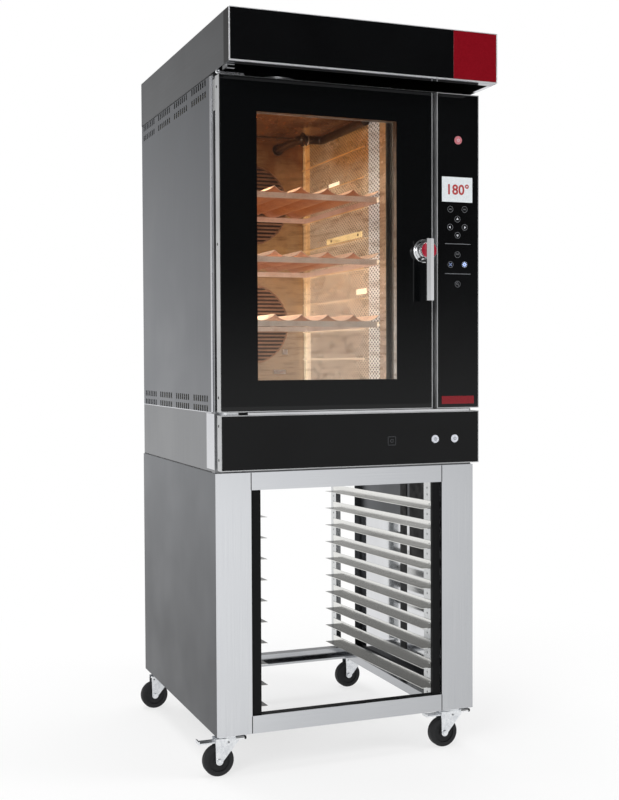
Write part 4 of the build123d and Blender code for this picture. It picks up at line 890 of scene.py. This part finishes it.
# The room is pale all round and greyer overhead. To the front and right, above the
# eye, it is dark, so that the black glass stays black.
room = {"overhead": 0.28, "rise": (-0.06, 0.30), "darkTowards": (0.37, -0.93, 0.0), "darkSpread": (0.80, 0.95),
        "darkRise": (-0.05, 0.09), "dark": (0.35, 0.9), "behind": (-0.1, 0.5), "belowEye": (0.10, -0.02)}
world = bpy.data.worlds.new("studioAir")
bpy.context.scene.world = world
world.use_nodes = True
tree = world.node_tree
tree.nodes.clear()
direction = addNode(tree, "TexCoord", out="Generated")
rise = addNode(tree, "SeparateXYZ", links={0: direction}, out="Z")
depth = addNode(tree, "SeparateXYZ", links={0: direction}, out="Y")
upward = addNode(tree, "MapRange", {**smoothly, 1: room["rise"][0], 2: room["rise"][1], 3: 1.0,
                                    4: room["overhead"]}, {0: rise})
towards = addNode(tree, "VectorMath", {"operation": "DOT_PRODUCT", 1: room["darkTowards"]}, {0: direction},
                  "Value")
beside = addNode(tree, "MapRange", {**smoothly, 1: room["darkSpread"][0], 2: room["darkSpread"][1]},
                 {0: towards})
above = addNode(tree, "MapRange", {**smoothly, 1: room["darkRise"][0], 2: room["darkRise"][1],
                                   3: room["dark"][0], 4: room["dark"][1]}, {0: rise})
dim = addNode(tree, "Math", {"operation": "MULTIPLY"}, {0: beside, 1: above})
rest = addNode(tree, "Math", {"operation": "SUBTRACT", 0: 1.0}, {1: dim})
level = addNode(tree, "Math", {"operation": "MULTIPLY"}, {0: upward, 1: rest})
air = addNode(tree, "Background", {"Color": (1, 1, 1, 1)}, {"Strength": level})
plain = addNode(tree, "Background", {"Color": (1, 1, 1, 1), "Strength": 1.0})
# Camera rays see it plain white. So do metal and glass, where they show what lies behind
# the oven or below the eye.
behind = addNode(tree, "MapRange", {1: room["behind"][0], 2: room["behind"][1]}, {0: depth})
belowEye = addNode(tree, "MapRange", {1: room["belowEye"][0], 2: room["belowEye"][1]}, {0: rise})
glossyRay = addNode(tree, "LightPath", out="Is Glossy Ray")
glassRay = addNode(tree, "LightPath", out="Is Transmission Ray")
cameraRay = addNode(tree, "LightPath", out="Is Camera Ray")
bounced = addNode(tree, "Math", {"operation": "MAXIMUM"}, {0: glossyRay, 1: glassRay})
zone = addNode(tree, "Math", {"operation": "MULTIPLY"}, {0: behind, 1: belowEye})
shown = addNode(tree, "Math", {"operation": "MULTIPLY"}, {0: bounced, 1: zone})
through = addNode(tree, "Math", {"operation": "MAXIMUM"}, {0: cameraRay, 1: shown})
mixed = addNode(tree, "MixShader", links={0: through, 1: air, 2: plain})
addNode(tree, "OutputWorld", links={"Surface": mixed})

# Softboxes round the oven. Only the one at the left shows in glass and metal.
softboxes = {
    "keyLeft": {"at": (-3.4, -3.6, 3.4), "aim": (0, -0.2, 1.1), "size": (2.4, 2.4), "watts": 120},
    "fillRight": {"at": (3.6, -2.2, 2.6), "aim": (0, 0, 1.2), "size": (1.6, 2.6), "watts": 70},
    "above": {"at": (0, 0.4, 5.2), "aim": (0, 0, 0), "size": (4.0, 4.0), "watts": 190},
    "behind": {"at": (-1.5, 4.2, 3.0), "aim": (0, 0.3, 1.2), "size": (3.0, 2.0), "watts": 60},
}
# Lamps behind the door's border, on the cavity's left wall
cavityLamp = {"size": (0.08, 0.16), "watts": 2.4, "colour": "#fff0dc", "along": Vector((1, 0.3, 0)),
              "upperLamp": (-322, 150, 1960), "lowerLamp": (-322, 150, 1480)}


def addLamp(name, at, along, box):
    light = bpy.data.lights.new(name, "AREA")
    light.shape = "RECTANGLE"
    light.size, light.size_y = box["size"]
    light.energy = box["watts"]
    light.color = linear(box.get("colour", "#ffffff"))[:3]
    lamp = bpy.data.objects.new(name, light)
    bpy.context.scene.collection.objects.link(lamp)
    lamp.location = at
    lamp.rotation_mode = "QUATERNION"
    lamp.rotation_quaternion = along.to_track_quat("-Z", "Y")
    return lamp


for name, box in softboxes.items():
    lamp = addLamp(name, box["at"], Vector(box["aim"]) - Vector(box["at"]), box)
    lamp.visible_glossy = name == "keyLeft"
for name in ("upperLamp", "lowerLamp"):
    addLamp(name, place(*cavityLamp[name]), cavityLamp["along"], cavityLamp)

# The photo's own viewpoint: metres, degrees, and a lens in millimetres
viewpoint = {"at": (-1.540, -4.037, 1.318), "turn": 21.35, "down": 1.85, "roll": -0.24,
             "lens": 54.86, "film": 36}
lens = bpy.data.cameras.new("photoCamera")
lens.lens = viewpoint["lens"]
lens.sensor_width = viewpoint["film"]
camera = bpy.data.objects.new("photoCamera", lens)
bpy.context.scene.collection.objects.link(camera)
swing = Matrix.Rotation(math.radians(-viewpoint["turn"]), 4, "Z")
tilt = Matrix.Rotation(math.radians(90 - viewpoint["down"]), 4, "X")
roll = Matrix.Rotation(math.radians(viewpoint["roll"]), 4, "Z")
camera.matrix_world = Matrix.Translation(viewpoint["at"]) @ swing @ tilt @ roll
bpy.context.scene.camera = camera
bpy.context.scene.view_settings.view_transform = "Standard"
print("studio set")
